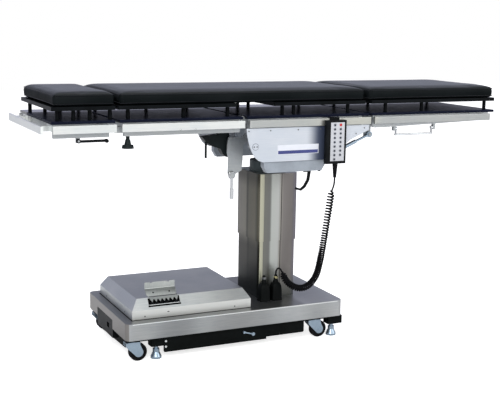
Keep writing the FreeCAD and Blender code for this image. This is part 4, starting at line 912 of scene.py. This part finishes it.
def make_hood_trim():
    left, right = COMB_ENDS
    pitch = (right - left) / COMB_TEETH
    outline = [(left, 0.0)]
    for number in range(COMB_TEETH):
        outline += [(left + number * pitch + share * pitch, height) for share, height in COMB_TOOTH]
    outline += [(right, 0.0)]

    def on_slope(u, v, w):
        return Vector((u, 0, 0)) + COMB_TOP + COMB_SLOPE * v + COMB_OUT * w

    prism("lever_comb", outline, COMB_SPAN, "flap", "base", on_slope)
    rim = bmesh.new()
    add_block(rim, *RIM_BAR, bevel=1.0)
    for x in RIM_SIDES:
        add_block(rim, (x - RIM_HALF, x + RIM_HALF), (-203.0, -188.0), (206.4, 208.8), bevel=1.0)
    from_bmesh("recess_rim", rim, "bright", "base")

    def on_chamfer(u, v, w):
        run, rise = (part / math.hypot(*CHAMFER) for part in CHAMFER)
        return Vector((u, HOOD_FRONT + run * v - rise * w, CHAMFER_FOOT + rise * v + run * w))

    prism("recess_gasket", GASKET, (0.0, 0.7), "dark", "base", on_chamfer)
    block("front_nick", (-520, -512), (-211.5, -210.6), (176, 179), "dark", "base", bevel=0.3, segments=1)
    for number, x in enumerate((-611.0, -236.0)):
        lathe(f"hood_screw_{number}", HOOD_SCREW, (x, HOOD_FRONT, 168), "screw", "base", axis="Y", steps=16)
    for number, y in enumerate((-120.0, 120.0)):
        lathe(f"hood_end_screw_{number}", HOOD_SCREW, (-662, y, 168), "screw", "base", axis="X", steps=16)
    # Painted shadow: dark strips round the hood's foot, where it meets the base.
    seam = bmesh.new()
    for x, y in HOOD_FOOT_SHADOW_STRIPS:
        add_block(seam, x, y, (155.9, 157.2), bevel=0.3, segments=1)
    from_bmesh("hood_foot_painted_shadow", seam, "dark", "base")


FLAP_ENDS, FLAP_SHEET, FLAP_EDGE = (-594.0, -470.0), (-1.0, 1.0), 0.3
FLAP_FOOT, FLAP_CREASE = Vector((0, -183.0, 235.0)), Vector((0, -155.0, 260.3))
FLAP_TAB, FLAP_SHOULDER, FLAP_HEIGHT = 7, 9, 25
NOTCH, NOTCH_PLACES = 5.0, (-497.0, -567.0)
CREASE_ROD = [(0, -594.0), (1.5, -594.0), (1.5, -470.0), (0, -470.0)]
HINGE_ROD, HINGE_PLACE = [(0, -586), (1.9, -586), (1.9, -470), (0, -470)], (0, -182, 235.2)
FLAP_SCREW, FLAP_SCREW_PLACES = [(0, 1.4), (2.4, 1.2), (3.2, 0.4), (3.2, 0)], (-564.0, -498.0)


def make_flap():
    left, right = FLAP_ENDS
    slope = (FLAP_CREASE - FLAP_FOOT).normalized()
    out = Vector((0, -slope.z, slope.y))
    length = (FLAP_CREASE - FLAP_FOOT).length

    def lower(u, v, w):
        return Vector((u, 0, 0)) + FLAP_FOOT + slope * v + out * w

    def upper(u, v, w):
        return Vector((u, FLAP_CREASE.y - w, FLAP_CREASE.z + v))

    outline = [(left + FLAP_TAB, 0), (right - FLAP_TAB, 0), (right, FLAP_SHOULDER), (right, length),
               (left, length), (left, FLAP_SHOULDER)]
    pieces = [prism("flap_lower", outline, FLAP_SHEET, "flap", None, lower, FLAP_EDGE)]
    outline = [(left, 0), (right, 0), (right, FLAP_HEIGHT)]
    for x in NOTCH_PLACES:
        outline += [(x + NOTCH, FLAP_HEIGHT)] + arc((x, FLAP_HEIGHT), NOTCH, 0, -180, 8)[1:-1]
        outline += [(x - NOTCH, FLAP_HEIGHT)]
    outline += [(left, FLAP_HEIGHT)]
    pieces.append(prism("flap_upper", outline, FLAP_SHEET, "flap", None, upper, FLAP_EDGE))
    # Painted highlight: a bright rod along the flap's bend.
    pieces.append(lathe("flap_crease_highlight", CREASE_ROD, FLAP_CREASE, "bright", None, axis="X", steps=16))
    pieces.append(lathe("flap_hinge_rod", HINGE_ROD, HINGE_PLACE, "screw", None, axis="X", steps=16))
    for number, x in enumerate(FLAP_SCREW_PLACES):
        screw = bmesh.new()
        add_lathe(screw, FLAP_SCREW, (0, 0, 0), steps=16)
        turn = out.to_track_quat("Z", "Y").to_matrix()
        bmesh.ops.rotate(screw, verts=screw.verts, cent=(0, 0, 0), matrix=turn)
        bmesh.ops.translate(screw, verts=screw.verts, vec=lower(x, 17, 1.0))
        pieces.append(from_bmesh(f"flap_screw_{number}", screw, "dark", None))
    flap = joined("lever_flap", pieces, "flap")
    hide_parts("hood_flap")


make_hood_trim()
make_flap()


# Connector boots with their nuts

BOOTS, BOOT_LINE = [("left", -75.0, "screw"), ("right", -21.0, "brass")], -141
BOOT_RINGS = [(23.0, 156.0), (23.0, 160.0), (21.8, 164.0), (21.5, 196.0), (20.0, 214.0), (16.5, 224.0),
              (13.5, 228.0)]
BOOT_NECK = [(0, 227), (11.5, 227), (11.0, 236), (8.5, 240), (8.5, 246), (0, 246)]
BOOT_NUT = [(0, 245), (9.6, 245), (10.4, 246.2), (10.4, 252.8), (9.6, 254), (0, 254)]
BOOT_GLAND = [(0, 253.5), (7.2, 253.5), (6.6, 258), (4.6, 262), (0, 262)]


def boot_cone(name, x):
    """Square rings with round corners that narrow upwards."""
    shape = bmesh.new()
    previous = None
    for half, z in BOOT_RINGS:
        outline = round_rectangle((-half, half), (-half, half), min(8.0, half * 0.5), 5)
        ring = [shape.verts.new((x + u, BOOT_LINE + v, z)) for u, v in outline]
        if previous:
            for index in range(len(ring)):
                after = (index + 1) % len(ring)
                shape.faces.new((previous[index], previous[after], ring[after], ring[index]))
        else:
            shape.faces.new(list(reversed(ring)))
        previous = ring
    shape.faces.new(previous)
    return from_bmesh(name, shape, "boot", None)


def make_boots():
    pieces = []
    for name, x, nut in BOOTS:
        place = (x, BOOT_LINE, 0)
        pieces += [boot_cone(f"boot_{name}", x),
                   lathe(f"boot_neck_{name}", BOOT_NECK, place, "boot", None),
                   lathe(f"boot_nut_{name}", BOOT_NUT, place, nut, None, steps=6),
                   lathe(f"boot_gland_{name}", BOOT_GLAND, place, "boot", None)]
    boots = joined("boots_with_nuts", pieces, "base")
    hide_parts("connector_boots")


make_boots()


# Side covers: roundel, plain two-tone plate and screws

COVER_FACE = 268.0
ROUNDEL, ROUNDEL_RIM, ROUNDEL_DISC = (-183, 809), 13.5, 11.8
ROUNDEL_MARKS, MARK_RADIUS = (-189.0, -177.0), 2.6
PLATE = [(-89, 775), (92, 775), (92, 812), (-89, 812)]
PLATE_BAND = [(-86, 777), (89, 777), (89, 790), (-86, 790)]
COVER_SCREWS = [(-212, 870), (-120, 870), (0, 870), (100, 870), (300, 868), (262, 846)]
COVER_SCREW_RADIUS = 2.8


def make_cover_trim():
    for side, name in ((-1, "near"), (1, "far")):

        def flat(u, v, w, side=side):
            return Vector((u, side * (COVER_FACE + w), v))

        prism(f"roundel_rim_{name}", circle(ROUNDEL, ROUNDEL_RIM, 36), (0.0, 0.7), "ring", "seat", flat)
        prism(f"roundel_{name}", circle(ROUNDEL, ROUNDEL_DISC, 36), (0.5, 1.1), "cover", "seat", flat)
        for number, u in enumerate(ROUNDEL_MARKS):
            outline = circle((u, ROUNDEL[1]), MARK_RADIUS, 18)
            prism(f"roundel_mark_{name}_{number}", outline, (1.0, 1.4), "dark", "seat", flat)
        prism(f"plate_{name}", PLATE, (0.0, 0.8), "plate", "seat", flat, bevel=0.3)
        prism(f"plate_band_{name}", PLATE_BAND, (0.7, 1.1), "band", "seat", flat)
        for number, place in enumerate(COVER_SCREWS):
            outline = circle(place, COVER_SCREW_RADIUS, 18)
            prism(f"cover_screw_{name}_{number}", outline, (0.0, 1.2), "screw", "seat", flat, bevel=0.4)


make_cover_trim()


# Handset: face plate and key surrounds

HANDSET_FACE = -298.9
KEY_ROWS, KEY_TOP, KEY_PITCH, KEY_COLUMNS = 9, 887, 17, (146, 172)
KEY_RING = [(4.4, -0.9), (6.0, -1.3), (6.4, -1.2), (6.4, -0.6)]


def make_handset():
    pieces = [block("handset_plate", (128, 190), (HANDSET_FACE - 1.2, HANDSET_FACE + 0.5), (744, 897), "face",
                    None, bevel=0.6)]
    for row in range(KEY_ROWS):
        z = KEY_TOP - row * KEY_PITCH
        for x in KEY_COLUMNS if 0 < row < KEY_ROWS - 1 else KEY_COLUMNS[:1]:
            pieces.append(lathe(f"key_ring_{row}_{x}", KEY_RING, (x, HANDSET_FACE, z), "ring", None, axis="Y",
                                steps=24))
    joined("handset_front", pieces, "handset")


make_handset()


# Rail marks, trough stops, panel bolts and a painted highlight along the base's top edge

RAIL_MARK, RAIL_MARK_PLACES = [(0, 0.8), (2.6, 0.6), (3.2, 0.0), (3.2, -1.0)], (-493.0, -434.0)
RAIL_FACE, RAIL_MIDDLE = -275.2, 885.4
TROUGH_STOPS = [(46.0, 22.0), (105.0, 8.0)]
PANEL_BOLT, PANEL_BOLT_HEIGHTS = [(0, -2.2), (3.6, -2.0), (4.6, -0.8), (4.6, 0.5)], (70.0, 48.0)
PANEL_BOLT_PLACE, PANEL_FACE = -537.0, -241.0
BASE_EDGE_HIGHLIGHT = ((-675, 210), (-255.6, -254.6), (151.5, 154.5))


def make_marks():
    for number, x in enumerate(RAIL_MARK_PLACES):
        lathe(f"rail_mark_{number}", RAIL_MARK, (x, RAIL_FACE, RAIL_MIDDLE), "screw", "back", axis="Y",
              steps=16)
    for number, (x, width) in enumerate(TROUGH_STOPS):
        block(f"trough_stop_{number}", (x - width / 2, x + width / 2), (-260, -248), (699.5, 705), "moulding",
              "seat", bevel=1.5)
    for number, z in enumerate(PANEL_BOLT_HEIGHTS):
        lathe(f"panel_bolt_{number}", PANEL_BOLT, (PANEL_BOLT_PLACE, PANEL_FACE, z), "bright", "base",
              axis="Y", steps=18)
    # Painted highlight: a bright strip along the base's top front edge.
    block("base_edge_painted_highlight", *BASE_EDGE_HIGHLIGHT, "bright", "base", bevel=0.3, segments=1)


make_marks()
